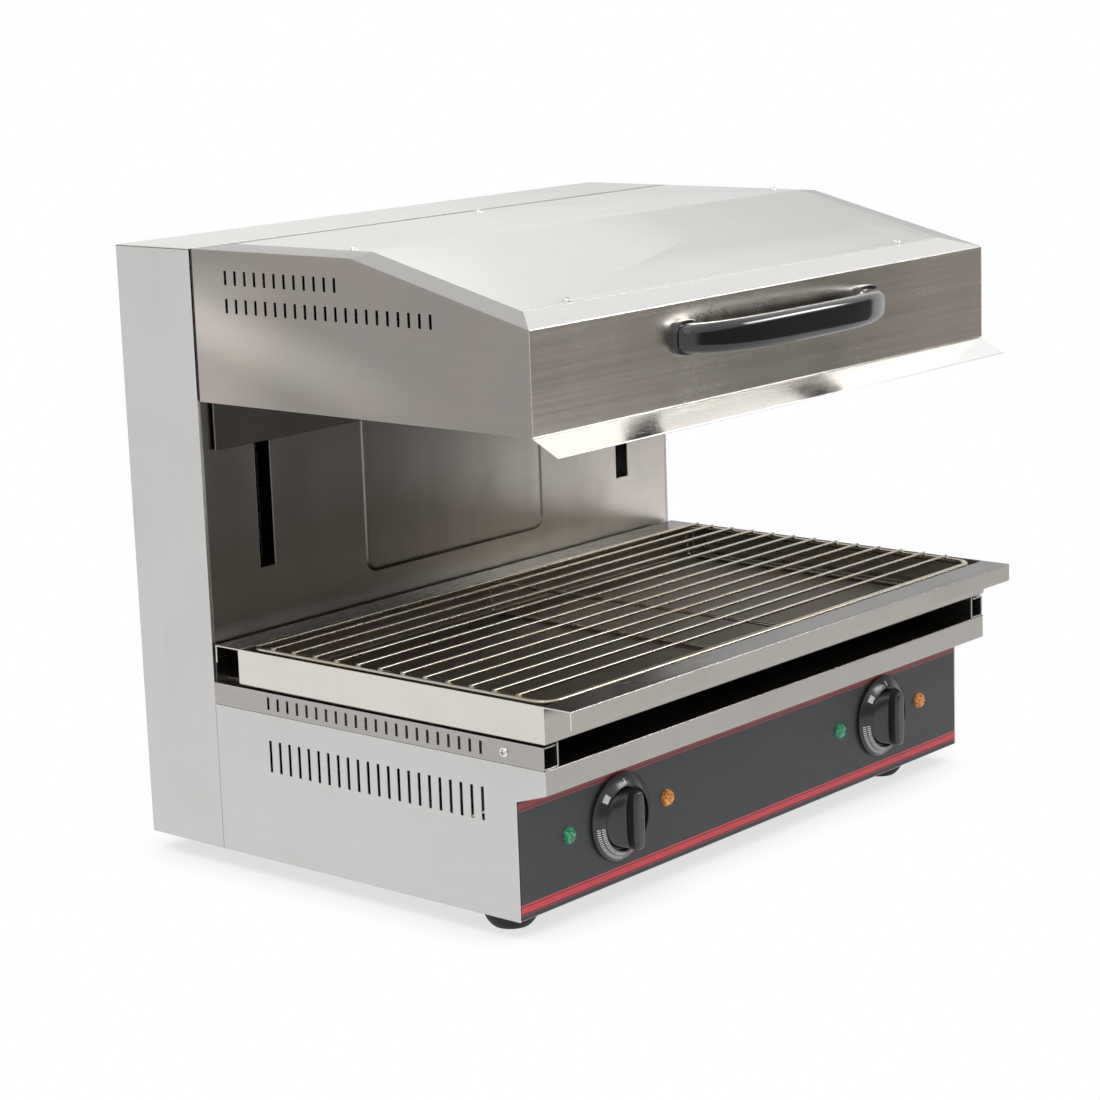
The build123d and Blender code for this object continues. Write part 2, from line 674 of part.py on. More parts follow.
rail_right, screw_place_right = tray_rail(1)
rail_right.part.label = "rail_right"
export_step(rail_right.part, "parts/rail_right.step")

with BuildPart() as rail_screws:
    screws(screw_place_left + screw_place_right, RAIL_SCREW, SCREW_LENGTH)
rail_screws.part.label = "rail_screws"
export_step(rail_screws.part, "parts/rail_screws.step")

tray_back = COLUMN_FRONT - TRAY_BACK
tray_front = COLUMN_FRONT - TRAY_FRONT

with BuildPart() as tray:
    block(-HALF, HALF, tray_front, tray_back, TRAY_Z, TRAY_TOP)
    fillet(tray.faces().sort_by(Axis.Z)[0].edges(), TRAY_BEND)
    offset(amount=-SHEET, openings=tray.faces().sort_by(Axis.Z)[-1])
    # The front and back edges fold outwards and down into handling lips.
    front_edge = tray_front - TRAY_FLANGE
    back_edge = tray_back + TRAY_FLANGE
    block(-HALF, HALF, front_edge, tray_front, TRAY_TOP - SHEET, TRAY_TOP)
    block(-HALF, HALF, front_edge, front_edge + SHEET, TRAY_TOP - TRAY_LIP, TRAY_TOP)
    block(-HALF, HALF, tray_back, back_edge, TRAY_TOP - SHEET, TRAY_TOP)
    block(-HALF, HALF, back_edge - SHEET, back_edge, TRAY_TOP - TRAY_LIP, TRAY_TOP)
tray.part.label = "tray"
export_step(tray.part, "parts/tray.step")

FLOOR_CLEAR = 0.3
RIM_SINK = 1.2
WELD_SINK = 0.6
LEG_SLANT = 4.0
GRID_HALF = HALF - GRID_SIDE_GAP - RIM_WIRE
RIM_Z = TRAY_TOP - RIM_SINK
CROSS_Z = RIM_Z + RIM_WIRE + CROSS_WIRE - WELD_SINK
BRACE_Z = CROSS_Z - 2 * CROSS_WIRE + WELD_SINK
LEG_Z = TRAY_Z + SHEET + CROSS_WIRE + FLOOR_CLEAR
rim_back = COLUMN_FRONT - GRID_BACK
rim_front = COLUMN_FRONT - GRID_FRONT
cross_levels = [COLUMN_FRONT - CROSS_START - i * CROSS_PITCH for i in range(CROSS_COUNT)]
cross_levels.append(rim_back - SHELF_WIRE_STEP)
leg_places = (-GRID_HALF + LEG_INSET, 0.0, GRID_HALF - LEG_INSET)

with BuildPart() as wire_grid:
    # Rim: one round wire bent into a rounded rectangle.
    rim_corners = [
        (-GRID_HALF, rim_front),
        (GRID_HALF, rim_front),
        (GRID_HALF, rim_back),
        (-GRID_HALF, rim_back),
    ]
    with BuildLine(Plane.XY.offset(RIM_Z)) as rim_line:
        FilletPolyline(*rim_corners, radius=GRID_CORNER, close=True)
    with BuildSketch(Plane(origin=rim_line.line @ 0, z_dir=rim_line.line % 0)):
        Circle(RIM_WIRE)
    sweep(path=rim_line.line)
    # Cross wires welded on top of the rim.
    for y in cross_levels:
        round_bar((0, y, CROSS_Z), CROSS_WIRE, 2 * GRID_HALF + RIM_WIRE, "X")
    # The middle brace runs under the cross wires.
    brace_length = rim_back - rim_front
    round_bar((0, (rim_back + rim_front) / 2, BRACE_Z), CROSS_WIRE, brace_length, "Y")
wire_grid.part.label = "wire_grid"
export_step(wire_grid.part, "parts/wire_grid.step")

# Three bent legs, welded to the rim's front and back runs, stand on the tray's floor.
with BuildPart() as grid_legs:
    for x in leg_places:
        with BuildLine(Plane.YZ.offset(x)) as leg_line:
            FilletPolyline(
                (rim_front, RIM_Z),
                (rim_front + LEG_SLANT, LEG_Z),
                (rim_back - LEG_SLANT, LEG_Z),
                (rim_back, RIM_Z),
                radius=LEG_SLANT,
            )
        with BuildSketch(Plane(origin=leg_line.line @ 0, z_dir=leg_line.line % 0)):
            Circle(CROSS_WIRE)
        sweep(path=leg_line.line)
    add(wire_grid.part, mode=Mode.SUBTRACT)
grid_legs.part.label = "grid_legs"
export_step(grid_legs.part, "parts/grid_legs.step")

# ---- Hood shell ---------------------------------------------------------------------------------
# Four mitred walls fold inwards at the top into a rising strip and a joggled ledge. A separate cover
# lies on the ledge inside the strips, so that the top is flat behind the crease and falls in front.

COVER_SCREW = 1.8
COVER_SCREW_X = 218.0
COVER_SCREW_FRONT = 33.0
COVER_SCREW_SIDE = 5.0
COVER_SCREW_BEHIND_CREASE = 25.0
COVER_SCREW_BACK = 12.0
ROOF_Z = TOP_Z + STRIP_RISE
cover_x = HALF - SIDE_STRIP
cover_front = HOOD_FRONT + END_STRIP
cover_back = HOOD_BACK - END_STRIP
slope = Vector(0, -SLOPE_RUN, -HOOD_FALL)
slope_out = (0, -HOOD_FALL, SLOPE_RUN)
slope_grade = HOOD_FALL / SLOPE_RUN


def roof_height(y):
    """Height of the cover's face at y: level behind the crease, falling in front of it."""
    return ROOF_Z - max(CREASE_Y - y, 0) * slope_grade


front_screw_y = HOOD_FRONT + COVER_SCREW_FRONT
side_screw_y = CREASE_Y + COVER_SCREW_BEHIND_CREASE
cover_screw_places = [
    facing(-COVER_SCREW_X, front_screw_y, roof_height(front_screw_y), slope_out),
    facing(COVER_SCREW_X, front_screw_y, roof_height(front_screw_y), slope_out),
    facing(COVER_SCREW_SIDE - cover_x, side_screw_y, ROOF_Z, (0, 0, 1)),
    facing(cover_x - COVER_SCREW_SIDE, side_screw_y, ROOF_Z, (0, 0, 1)),
    facing(0, cover_back - COVER_SCREW_BACK, ROOF_Z, (0, 0, 1)),
]

with BuildPart() as hood_cover:
    roof_line = [(y, roof_height(y)) for y in (cover_back, CREASE_Y, cover_front)]
    under_line = [(y, z - HOOD_SKIN) for y, z in reversed(roof_line)]
    side_profile(-cover_x, 2 * cover_x, roof_line + under_line)
    screw_holes(cover_screw_places, COVER_SCREW, 4 * HOOD_SKIN)
hood_cover.part.label = "hood_cover"
export_step(hood_cover.part, "parts/hood_cover.step")

with BuildPart() as cover_screws:
    screws(cover_screw_places, COVER_SCREW, SCREW_LENGTH)
cover_screws.part.label = "cover_screws"
export_step(cover_screws.part, "parts/cover_screws.step")


def fold(top, strip, grade):
    """Section of a hood wall, as distances in from its face and heights, with grade as the ledge's rise."""
    crown = top + STRIP_RISE + strip * grade
    ledge_end = strip + LEDGE
    ledge_rise = LEDGE * grade
    corner = top + (crown - top) * HOOD_WALL / strip - HOOD_WALL
    return [
        (0, HOOD_Z),
        (0, top),
        (strip, crown),
        (strip, crown - HOOD_SKIN),
        (ledge_end, crown - HOOD_SKIN + ledge_rise),
        (ledge_end, crown - HOOD_WALL + ledge_rise),
        (strip, crown - HOOD_WALL),
        (HOOD_WALL, corner),
        (HOOD_WALL, HOOD_Z),
    ]


# The mitres: upright planes from each corner to the strip's inner corner, facing the side panel.
front_mitres = {
    side: Plane(origin=(side * HALF, HOOD_FRONT, 0), z_dir=(side * END_STRIP, SIDE_STRIP, 0))
    for side in (-1, 1)
}
back_mitres = {
    side: Plane(origin=(side * HALF, HOOD_BACK, 0), z_dir=(side * END_STRIP, -SIDE_STRIP, 0))
    for side in (-1, 1)
}


def hood_side(sign):
    """A side panel: level behind the crease, sloping in front of it, mitred at both ends."""
    with BuildPart() as panel:
        with BuildSketch(Plane.XZ.offset(-CREASE_Y)) as section:
            with BuildLine():
                Polyline(*[(sign * (HALF - u), z) for u, z in fold(TOP_Z, SIDE_STRIP, 0)], close=True)
            make_face()
        extrude(section.sketch, amount=HOOD_BACK - CREASE_Y + END_STRIP, dir=(0, 1, 0))
        extrude(section.sketch, amount=slope.length + END_STRIP, dir=slope.normalized())
        split(bisect_by=Plane.XY.offset(HOOD_Z), keep=Keep.TOP)
        split(bisect_by=front_mitres[sign], keep=Keep.TOP)
        split(bisect_by=back_mitres[sign], keep=Keep.TOP)
        face = sign * HALF
        side_vents(face, HOOD_VENT_START, UPPER_VENTS, TOP_Z - UPPER_VENT_DROP, HOOD_VENT_HEIGHT)
        side_vents(face, HOOD_VENT_START, LOWER_VENTS, TOP_Z - LOWER_VENT_DROP, HOOD_VENT_HEIGHT)
        screw_holes(cover_screw_places, COVER_SCREW, 4 * HOOD_SKIN)
    return panel


hood_side_left = hood_side(-1)
hood_side_left.part.label = "hood_side_left"
export_step(hood_side_left.part, "parts/hood_side_left.step")

hood_side_right = hood_side(1)
hood_side_right.part.label = "hood_side_right"
export_step(hood_side_right.part, "parts/hood_side_right.step")


def hood_end(points, mitres):
    """The front or the back wall, folded on its section and mitred at both sides."""
    with BuildPart() as wall:
        side_profile(-HALF - SIDE_STRIP, WIDTH + 2 * SIDE_STRIP, points)
        for mitre in mitres.values():
            split(bisect_by=mitre, keep=Keep.BOTTOM)
    return wall.part


HANDLE_SCREW = 2.0
HANDLE_SCREW_DEPTH = 12.0
handle_screw_x = HANDLE_LENGTH / 2 - HANDLE_FOOT / 2
handle_screw_places = [
    facing(side * handle_screw_x, HOOD_FRONT + HOOD_WALL, HANDLE_Z, (0, 1, 0)) for side in (-1, 1)
]

with BuildPart() as hood_front:
    front_fold = fold(FRONT_TOP_Z, END_STRIP, slope_grade)
    add(hood_end([(HOOD_FRONT + u, z) for u, z in front_fold], front_mitres))
    screw_holes(handle_screw_places, HANDLE_SCREW, 2 * HOOD_WALL)
    screw_holes(cover_screw_places, COVER_SCREW, 4 * HOOD_SKIN)
hood_front.part.label = "hood_front"
export_step(hood_front.part, "parts/hood_front.step")

ARM_PLAY = 0.3
arm_screw_places = [
    facing(side * (SLOT_X - ARM_FLANGE / 2), HOOD_BACK - HOOD_WALL - ARM_PLATE, ARM_Z + level, (0, -1, 0))
    for side in (-1, 1)
    for level in (ARM_HEIGHT / 4, 3 * ARM_HEIGHT / 4)
]
ARM_SCREW = 2.0

with BuildPart() as hood_back:
    add(hood_end([(HOOD_BACK - u, z) for u, z in fold(TOP_Z, END_STRIP, 0)], back_mitres))
    screw_holes(cover_screw_places, COVER_SCREW, 4 * HOOD_SKIN)
    # The plate hangs below the side panels, in front of the column.
    plate_half = HALF - REAR_PLATE_INSET
    plate_low = HOOD_Z - REAR_PLATE_HANG
    block(-plate_half, plate_half, HOOD_BACK - HOOD_WALL, HOOD_BACK, plate_low, HOOD_Z + HOOD_WALL)
    for side in (-1, 1):
        gap = ARM_WIDTH / 2 + ARM_PLAY
        block(side * SLOT_X - gap, side * SLOT_X + gap, HOOD_BACK - 2 * HOOD_WALL, HOOD_BACK + HOOD_WALL,
              ARM_Z - ARM_PLAY, ARM_Z + ARM_HEIGHT + ARM_PLAY, mode=Mode.SUBTRACT)
    screw_holes(arm_screw_places, ARM_SCREW, ARM_PLATE + 2 * HOOD_WALL)
hood_back.part.label = "hood_back"
export_step(hood_back.part, "parts/hood_back.step")

# The bright slat under the front panel leans forwards and down from a flange behind the panel.
with BuildPart() as front_slat:
    flange_y = HOOD_FRONT + HOOD_WALL
    outline = [
        (flange_y, HOOD_Z + SLAT_FLANGE),
        (flange_y, HOOD_Z),
        (HOOD_FRONT - SLAT_REACH, HOOD_Z - SLAT_DROP),
        (HOOD_FRONT - SLAT_REACH + SLAT_SHEET / 2, HOOD_Z - SLAT_DROP - SLAT_SHEET),
        (flange_y + SLAT_SHEET, HOOD_Z - SLAT_SHEET / 2),
        (flange_y + SLAT_SHEET, HOOD_Z + SLAT_FLANGE),
    ]
    side_profile(-(HALF - HOOD_WALL), 2 * (HALF - HOOD_WALL), outline)
front_slat.part.label = "front_slat"
export_step(front_slat.part, "parts/front_slat.step")

# ---- Handle -------------------------------------------------------------------------------------

HANDLE_SAG = 6.0
HANDLE_SHOULDER = 30.0
HANDLE_BELLY_INSET = 22.0
HANDLE_BELLY_SAG = 3.5
HANDLE_ROUND = 6.0
HANDLE_EDGE_MARGIN = 8.0

with BuildPart() as handle:
    half_length = HANDLE_LENGTH / 2
    shoulder = half_length - HANDLE_SHOULDER
    crest = HOOD_FRONT - HANDLE_REACH
    with BuildSketch(Plane.XY.offset(HANDLE_Z - HANDLE_HEIGHT / 2)):
        with BuildLine():
            crown = ThreePointArc((-shoulder, crest + HANDLE_SAG), (0, crest), (shoulder, crest + HANDLE_SAG))
            TangentArc(crown @ 1, (half_length, HOOD_FRONT), tangent=crown % 1)
            TangentArc(crown @ 0, (-half_length, HOOD_FRONT), tangent=(crown % 0) * -1)
            belly_half = shoulder - HANDLE_BELLY_INSET
            belly_y = crest + HANDLE_DEPTH
            belly_end = belly_y + HANDLE_BELLY_SAG
            belly = ThreePointArc((-belly_half, belly_end), (0, belly_y), (belly_half, belly_end))
            foot_inner = half_length - HANDLE_FOOT
            TangentArc(belly @ 1, (foot_inner, HOOD_FRONT), tangent=belly % 1)
            TangentArc(belly @ 0, (-foot_inner, HOOD_FRONT), tangent=(belly % 0) * -1)
            Line((foot_inner, HOOD_FRONT), (half_length, HOOD_FRONT))
            Line((-foot_inner, HOOD_FRONT), (-half_length, HOOD_FRONT))
        make_face()
    extrude(amount=HANDLE_HEIGHT)
    # The outer arcs are rounded, on the crest and down both feet.
    long_edges = handle.edges().filter_by(GeomType.CIRCLE)
    outer_x = foot_inner + HANDLE_EDGE_MARGIN
    crest_edges = long_edges.filter_by(lambda edge: edge.center().Y < belly_y - SHEET)
    foot_edges = long_edges.filter_by(lambda edge: abs(edge.center().X) > outer_x)
    fillet(list(set(crest_edges + foot_edges)), HANDLE_ROUND)
    with Locations(*handle_screw_places):
        Cylinder(HANDLE_SCREW + HOLE_PLAY, 2 * (HANDLE_SCREW_DEPTH + SHEET), mode=Mode.SUBTRACT)
handle.part.label = "handle"
export_step(handle.part, "parts/handle.step")

with BuildPart() as handle_screws:
    screws(handle_screw_places, HANDLE_SCREW, HANDLE_SCREW_DEPTH)
handle_screws.part.label = "handle_screws"
export_step(handle_screws.part, "parts/handle_screws.step")

# ---- Heating ------------------------------------------------------------------------------------

REFLECTOR_SHEET = 1.0
REFLECTOR_LOW = 21.0
REFLECTOR_RIM = 12.0
REFLECTOR_RISE = 30.0
ELEMENT_RADIUS = 4.0
ELEMENT_ABOVE_RIM = 2.5
ELEMENT_Z = HOOD_Z + REFLECTOR_LOW + REFLECTOR_RIM + ELEMENT_ABOVE_RIM
RUN_PITCH = 60.0
RUN_COUNT = 4
REFLECTOR_SLOPE = 30.0
REFLECTOR_FRONT_GAP = 8.0
REFLECTOR_BACK_GAP = 10.0
RUN_INSET = 45.0
RUN_SHORT = 20.0
ZONE_GAP = 30.0
ELEMENT_TAIL = 14.0
TAIL_BEND = 14.0
TAIL_HOLE_PLAY = 0.5
COLLAR_WIDTH = 3.5
COLLAR_DEPTH = 4.0
BAR_HEIGHT = 9.0
BAR_THICK = 2.0
BAR_CLEAR = 0.3
BAR_SHARES = (0.3, 0.7)
reflector_z = HOOD_Z + REFLECTOR_LOW
reflector_top = reflector_z + REFLECTOR_RIM + REFLECTOR_RISE
reflector_half = HALF - HOOD_WALL
reflector_front = HOOD_FRONT + REFLECTOR_FRONT_GAP
reflector_back = HOOD_BACK - REFLECTOR_BACK_GAP
zone_starts = (-RUN_COUNT * RUN_PITCH - ZONE_GAP / 2, ZONE_GAP / 2)
run_front = reflector_front + RUN_INSET
run_back = reflector_back - RUN_INSET
terminal_places = [
    (start + offset_x, run_back)
    for start in zone_starts
    for offset_x in (RUN_PITCH / 2, (RUN_COUNT - 0.5) * RUN_PITCH)
]

with BuildPart() as reflector:
    reflector_middle = (reflector_front + reflector_back) / 2
    reflector_length = reflector_back - reflector_front
    with BuildSketch(Plane.XY.offset(reflector_z)):
        with Locations((0, reflector_middle)):
            Rectangle(2 * reflector_half, reflector_length)
    extrude(amount=REFLECTOR_RIM)
    with BuildSketch(Plane.XY.offset(reflector_z + REFLECTOR_RIM)):
        with Locations((0, reflector_middle)):
            Rectangle(2 * reflector_half, reflector_length)
    with BuildSketch(Plane.XY.offset(reflector_top)):
        with Locations((0, reflector_middle)):
            Rectangle(2 * (reflector_half - REFLECTOR_SLOPE), reflector_length - 2 * REFLECTOR_SLOPE)
    loft()
    offset(amount=-REFLECTOR_SHEET, openings=reflector.faces().sort_by(Axis.Z)[0])
    for x, y in terminal_places:
        tail_hole = ELEMENT_RADIUS + TAIL_HOLE_PLAY
        round_bar((x, y, reflector_top), tail_hole, REFLECTOR_RISE, "Z", mode=Mode.SUBTRACT)
reflector.part.label = "reflector"
export_step(reflector.part, "parts/reflector.step")


def heating_element(start):
    """One zone's tubular element: runs front to back joined by half-turn bends."""
    lines = [start + (i + 0.5) * RUN_PITCH for i in range(RUN_COUNT)]
    tail_z = reflector_top + ELEMENT_TAIL
    corners = [(lines[0], run_back, tail_z), (lines[0], run_back, ELEMENT_Z)]
    radii = [TAIL_BEND]
    for i, x in enumerate(lines[:-1]):
        y = run_front if i % 2 == 0 else run_back - RUN_SHORT
        corners.append((x, y, ELEMENT_Z))
        corners.append((lines[i + 1], y, ELEMENT_Z))
        radii += [RUN_PITCH / 2 - HOLE_PLAY] * 2
    corners.append((lines[-1], run_back, ELEMENT_Z))
    corners.append((lines[-1], run_back, tail_z))
    radii.append(TAIL_BEND)
    with BuildPart() as element:
        with BuildLine() as route:
            FilletPolyline(*corners, radius=radii)
        with BuildSketch(Plane(origin=route.line @ 0, z_dir=route.line % 0)):
            Circle(ELEMENT_RADIUS)
        sweep(path=route.line)
        # Seating collars under the reflector's roof.
        for x in (lines[0], lines[-1]):
            collar_z = reflector_top - REFLECTOR_SHEET - COLLAR_DEPTH / 2
            round_bar((x, run_back, collar_z), ELEMENT_RADIUS + COLLAR_WIDTH, COLLAR_DEPTH, "Z")
    return element


element_left = heating_element(zone_starts[0])
element_left.part.label = "element_left"
export_step(element_left.part, "parts/element_left.step")

element_right = heating_element(zone_starts[1])
element_right.part.label = "element_right"
export_step(element_right.part, "parts/element_right.step")

with BuildPart() as element_bars:
    bar_top = ELEMENT_Z - ELEMENT_RADIUS - BAR_CLEAR
    bar_half = reflector_half - REFLECTOR_SHEET
    for share in BAR_SHARES:
        y = reflector_front + share * reflector_length
        block(-bar_half, bar_half, y - BAR_THICK / 2, y + BAR_THICK / 2, bar_top - BAR_HEIGHT, bar_top)
element_bars.part.label = "element_bars"
export_step(element_bars.part, "parts/element_bars.step")

# ---- Lift carriage ------------------------------------------------------------------------------

CARRIAGE_SHEET = 3.0
ROLLER_GAP = 0.1
COLLAR = 4.0
CARRIAGE_WINDOW = 120.0
PIN_COLLAR = 2.0
ROLLER_CHAMFER = 1.0
CHANNEL_LAP = 1.5
CROSSBAR_SHEET = 2.0
CROSSBAR_FLANGE = 10.0
CROSSBAR_RAISE = 10.0
CROSSBAR_DEPTH = 68.0
CROSSBAR_Y = COLUMN_FRONT + CROSSBAR_DEPTH
CROSSBAR_HEIGHT = 24.0
CHANNEL_BELOW_SLOT = 27.0
CHANNEL_TOP_GAP = 12.0
CHANNEL_LOW = SLOT_LOW - CHANNEL_BELOW_SLOT
CHANNEL_HIGH = TOP_Z - CHANNEL_TOP_GAP
carriage_back = CARRIAGE_Y + CARRIAGE_SHEET
roller_front = carriage_back + COLLAR
roller_back = roller_front + ROLLER_WIDTH
roller_z = CARRIAGE_Z + CARRIAGE_HEIGHT / 2
reel_y = CARRIAGE_Y - STRIP_THICK + REEL_RADIUS


def hood_arm(side):
    """One arm: a flanged plate from inside the hood, through its slot, to the carriage."""
    web_near = side * (SLOT_X - ARM_WIDTH / 2)
    web_far = side * (SLOT_X + ARM_WIDTH / 2)
    flange_end = side * (SLOT_X - ARM_FLANGE)
    front = HOOD_BACK - HOOD_WALL - ARM_PLATE
    with BuildPart() as arm:
        with BuildSketch(Plane.XY.offset(ARM_Z)):
            with BuildLine():
                Polyline(
                    (flange_end, front),
                    (web_far, front),
                    (web_far, CARRIAGE_Y),
                    (web_near, CARRIAGE_Y),
                    (web_near, front + ARM_PLATE),
                    (flange_end, front + ARM_PLATE),
                    close=True,
                )
            make_face()
        extrude(amount=ARM_HEIGHT)
        screw_holes(arm_screw_places, ARM_SCREW, 2 * ARM_PLATE)
    return arm


arm_left = hood_arm(-1)
arm_left.part.label = "arm_left"
export_step(arm_left.part, "parts/arm_left.step")

arm_right = hood_arm(1)
arm_right.part.label = "arm_right"
export_step(arm_right.part, "parts/arm_right.step")

with BuildPart() as arm_screws:
    screws(arm_screw_places, ARM_SCREW, ARM_PLATE + HOOD_WALL)
arm_screws.part.label = "arm_screws"
export_step(arm_screws.part, "parts/arm_screws.step")

with BuildPart() as carriage:
    block(-CARRIAGE_HALF, CARRIAGE_HALF, CARRIAGE_Y, carriage_back, CARRIAGE_Z, CARRIAGE_Z + CARRIAGE_HEIGHT)
    flange_back = carriage_back + COLLAR / 2
    block(-CARRIAGE_HALF, CARRIAGE_HALF, carriage_back, flange_back, CARRIAGE_Z, CARRIAGE_Z + CARRIAGE_SHEET)
    with BuildSketch(Plane.XZ.offset(-CARRIAGE_Y)):
        with Locations((0, roller_z)):
            SlotOverall(CARRIAGE_WINDOW, CARRIAGE_HEIGHT / 2)
    extrude(amount=-CARRIAGE_SHEET, mode=Mode.SUBTRACT)
carriage.part.label = "carriage"
export_step(carriage.part, "parts/carriage.step")

roller_centres = {
    f"roller_{side_name}_{level_name}": (side * ROLLER_X, roller_z + level * ROLLER_SPREAD)
    for side_name, side in (("left", -1), ("right", 1))
    for level_name, level in (("lower", -1), ("upper", 1))
}

with BuildPart() as roller_pins:
    for x, z in roller_centres.values():
        collar_end = roller_front - ROLLER_GAP
        head_start = roller_back + ROLLER_GAP
        collar = PIN_RADIUS + PIN_COLLAR
        round_bar((x, (carriage_back + collar_end) / 2, z), collar, collar_end - carriage_back, "Y")
        round_bar((x, (carriage_back + head_start) / 2, z), PIN_RADIUS, head_start - carriage_back, "Y")
        round_bar((x, head_start + PIN_COLLAR / 2, z), collar, PIN_COLLAR, "Y")
roller_pins.part.label = "roller_pins"
export_step(roller_pins.part, "parts/roller_pins.step")

for name, (x, z) in roller_centres.items():
    with BuildPart() as roller:
        round_bar((x, (roller_front + roller_back) / 2, z), ROLLER_RADIUS, ROLLER_WIDTH, "Y")
        chamfer(roller.edges().filter_by(GeomType.CIRCLE), ROLLER_CHAMFER)
        middle = (x, (roller_front + roller_back) / 2, z)
        round_bar(middle, PIN_HOLE, 2 * ROLLER_WIDTH, "Y", mode=Mode.SUBTRACT)
    roller.part.label = name
    export_step(roller.part, f"parts/{name}.step")

with BuildPart() as guide_channels:
    inner = ROLLER_RADIUS + CHANNEL_PLAY
    outer = inner + CHANNEL_SHEET
    web = CROSSBAR_Y - CHANNEL_SHEET
    mouth = roller_front - CHANNEL_LAP
    for x in (-ROLLER_X, ROLLER_X):
        with BuildSketch(Plane.XY.offset(CHANNEL_LOW)):
            with BuildLine():
                Polyline(
                    (x - outer, mouth),
                    (x - outer, CROSSBAR_Y),
                    (x + outer, CROSSBAR_Y),
                    (x + outer, mouth),
                    (x + inner, mouth),
                    (x + inner, web),
                    (x - inner, web),
                    (x - inner, mouth),
                    close=True,
                )
            make_face()
        extrude(amount=CHANNEL_HIGH - CHANNEL_LOW)
guide_channels.part.label = "guide_channels"
export_step(guide_channels.part, "parts/guide_channels.step")

with BuildPart() as crossbars:
    bar_back = CROSSBAR_Y + CROSSBAR_SHEET
    for low in (CHANNEL_LOW + CROSSBAR_RAISE, CHANNEL_HIGH - CROSSBAR_HEIGHT):
        block(-INSIDE, INSIDE, CROSSBAR_Y, bar_back, low, low + CROSSBAR_HEIGHT)
        block(-INSIDE, INSIDE, bar_back, bar_back + CROSSBAR_FLANGE, low, low + CROSSBAR_SHEET)
crossbars.part.label = "crossbars"
export_step(crossbars.part, "parts/crossbars.step")

# Two constant-force spring reels carry the hood's weight.
EAR = 2.0
EAR_GAP = 0.5
EAR_FRONT = 7.0
EAR_HALF_HEIGHT = 9.0
ear_inner = REEL_WIDTH / 2 + EAR_GAP
ear_outer = ear_inner + EAR

with BuildPart() as reel_brackets:
    for x in (-REEL_X, REEL_X):
        with BuildSketch(Plane.XY.offset(REEL_Z - EAR_HALF_HEIGHT)):
            with BuildLine():
                Polyline(
                    (x - ear_outer, reel_y - EAR_FRONT),
                    (x - ear_outer, CROSSBAR_Y),
                    (x + ear_outer, CROSSBAR_Y),
                    (x + ear_outer, reel_y - EAR_FRONT),
                    (x + ear_inner, reel_y - EAR_FRONT),
                    (x + ear_inner, CROSSBAR_Y - EAR),
                    (x - ear_inner, CROSSBAR_Y - EAR),
                    (x - ear_inner, reel_y - EAR_FRONT),
                    close=True,
                )
            make_face()
        extrude(amount=2 * EAR_HALF_HEIGHT)
        round_bar((x, reel_y, REEL_Z), PIN_HOLE, 3 * REEL_WIDTH, "X", mode=Mode.SUBTRACT)
reel_brackets.part.label = "reel_brackets"
export_step(reel_brackets.part, "parts/reel_brackets.step")

with BuildPart() as reel_axles:
    for x in (-REEL_X, REEL_X):
        round_bar((x, reel_y, REEL_Z), PIN_RADIUS, 2 * ear_outer, "X")
        for side in (-1, 1):
            head_x = x + side * (ear_outer + PIN_COLLAR / 2)
            round_bar((head_x, reel_y, REEL_Z), PIN_RADIUS + PIN_COLLAR, PIN_COLLAR, "X")
reel_axles.part.label = "reel_axles"
export_step(reel_axles.part, "parts/reel_axles.step")

COIL_CLEAR = 0.3
COIL_RADIUS = REEL_RADIUS - STRIP_THICK - COIL_CLEAR
HUB_WALL = 3.0
HUB_PROUD = 1.0


def spring_reel(x):
    """A wound spring on a hub that stands a little proud of it at both ends."""
    with BuildPart() as reel:
        round_bar((x, reel_y, REEL_Z), COIL_RADIUS, REEL_WIDTH - 2 * HUB_PROUD, "X")
        round_bar((x, reel_y, REEL_Z), PIN_RADIUS + HUB_WALL, REEL_WIDTH, "X")
        round_bar((x, reel_y, REEL_Z), PIN_HOLE, 2 * REEL_WIDTH, "X", mode=Mode.SUBTRACT)
    return reel


reel_left = spring_reel(-REEL_X)
reel_left.part.label = "reel_left"
export_step(reel_left.part, "parts/reel_left.step")

reel_right = spring_reel(REEL_X)
reel_right.part.label = "reel_right"
export_step(reel_right.part, "parts/reel_right.step")

STRIP_GRIP = 20.0
STRIP_INSET = 1.5


def spring_strip(x):
    """The reel's free end, drawn down and held on the carriage's front."""
    half = REEL_WIDTH / 2 - STRIP_INSET
    low = CARRIAGE_Z + CARRIAGE_HEIGHT - STRIP_GRIP
    with BuildPart() as strip:
        block(x - half, x + half, CARRIAGE_Y - STRIP_THICK, CARRIAGE_Y, low, REEL_Z)
    return strip


strip_left = spring_strip(-REEL_X)
strip_left.part.label = "strip_left"
export_step(strip_left.part, "parts/strip_left.step")

strip_right = spring_strip(REEL_X)
strip_right.part.label = "strip_right"
export_step(strip_right.part, "parts/strip_right.step")
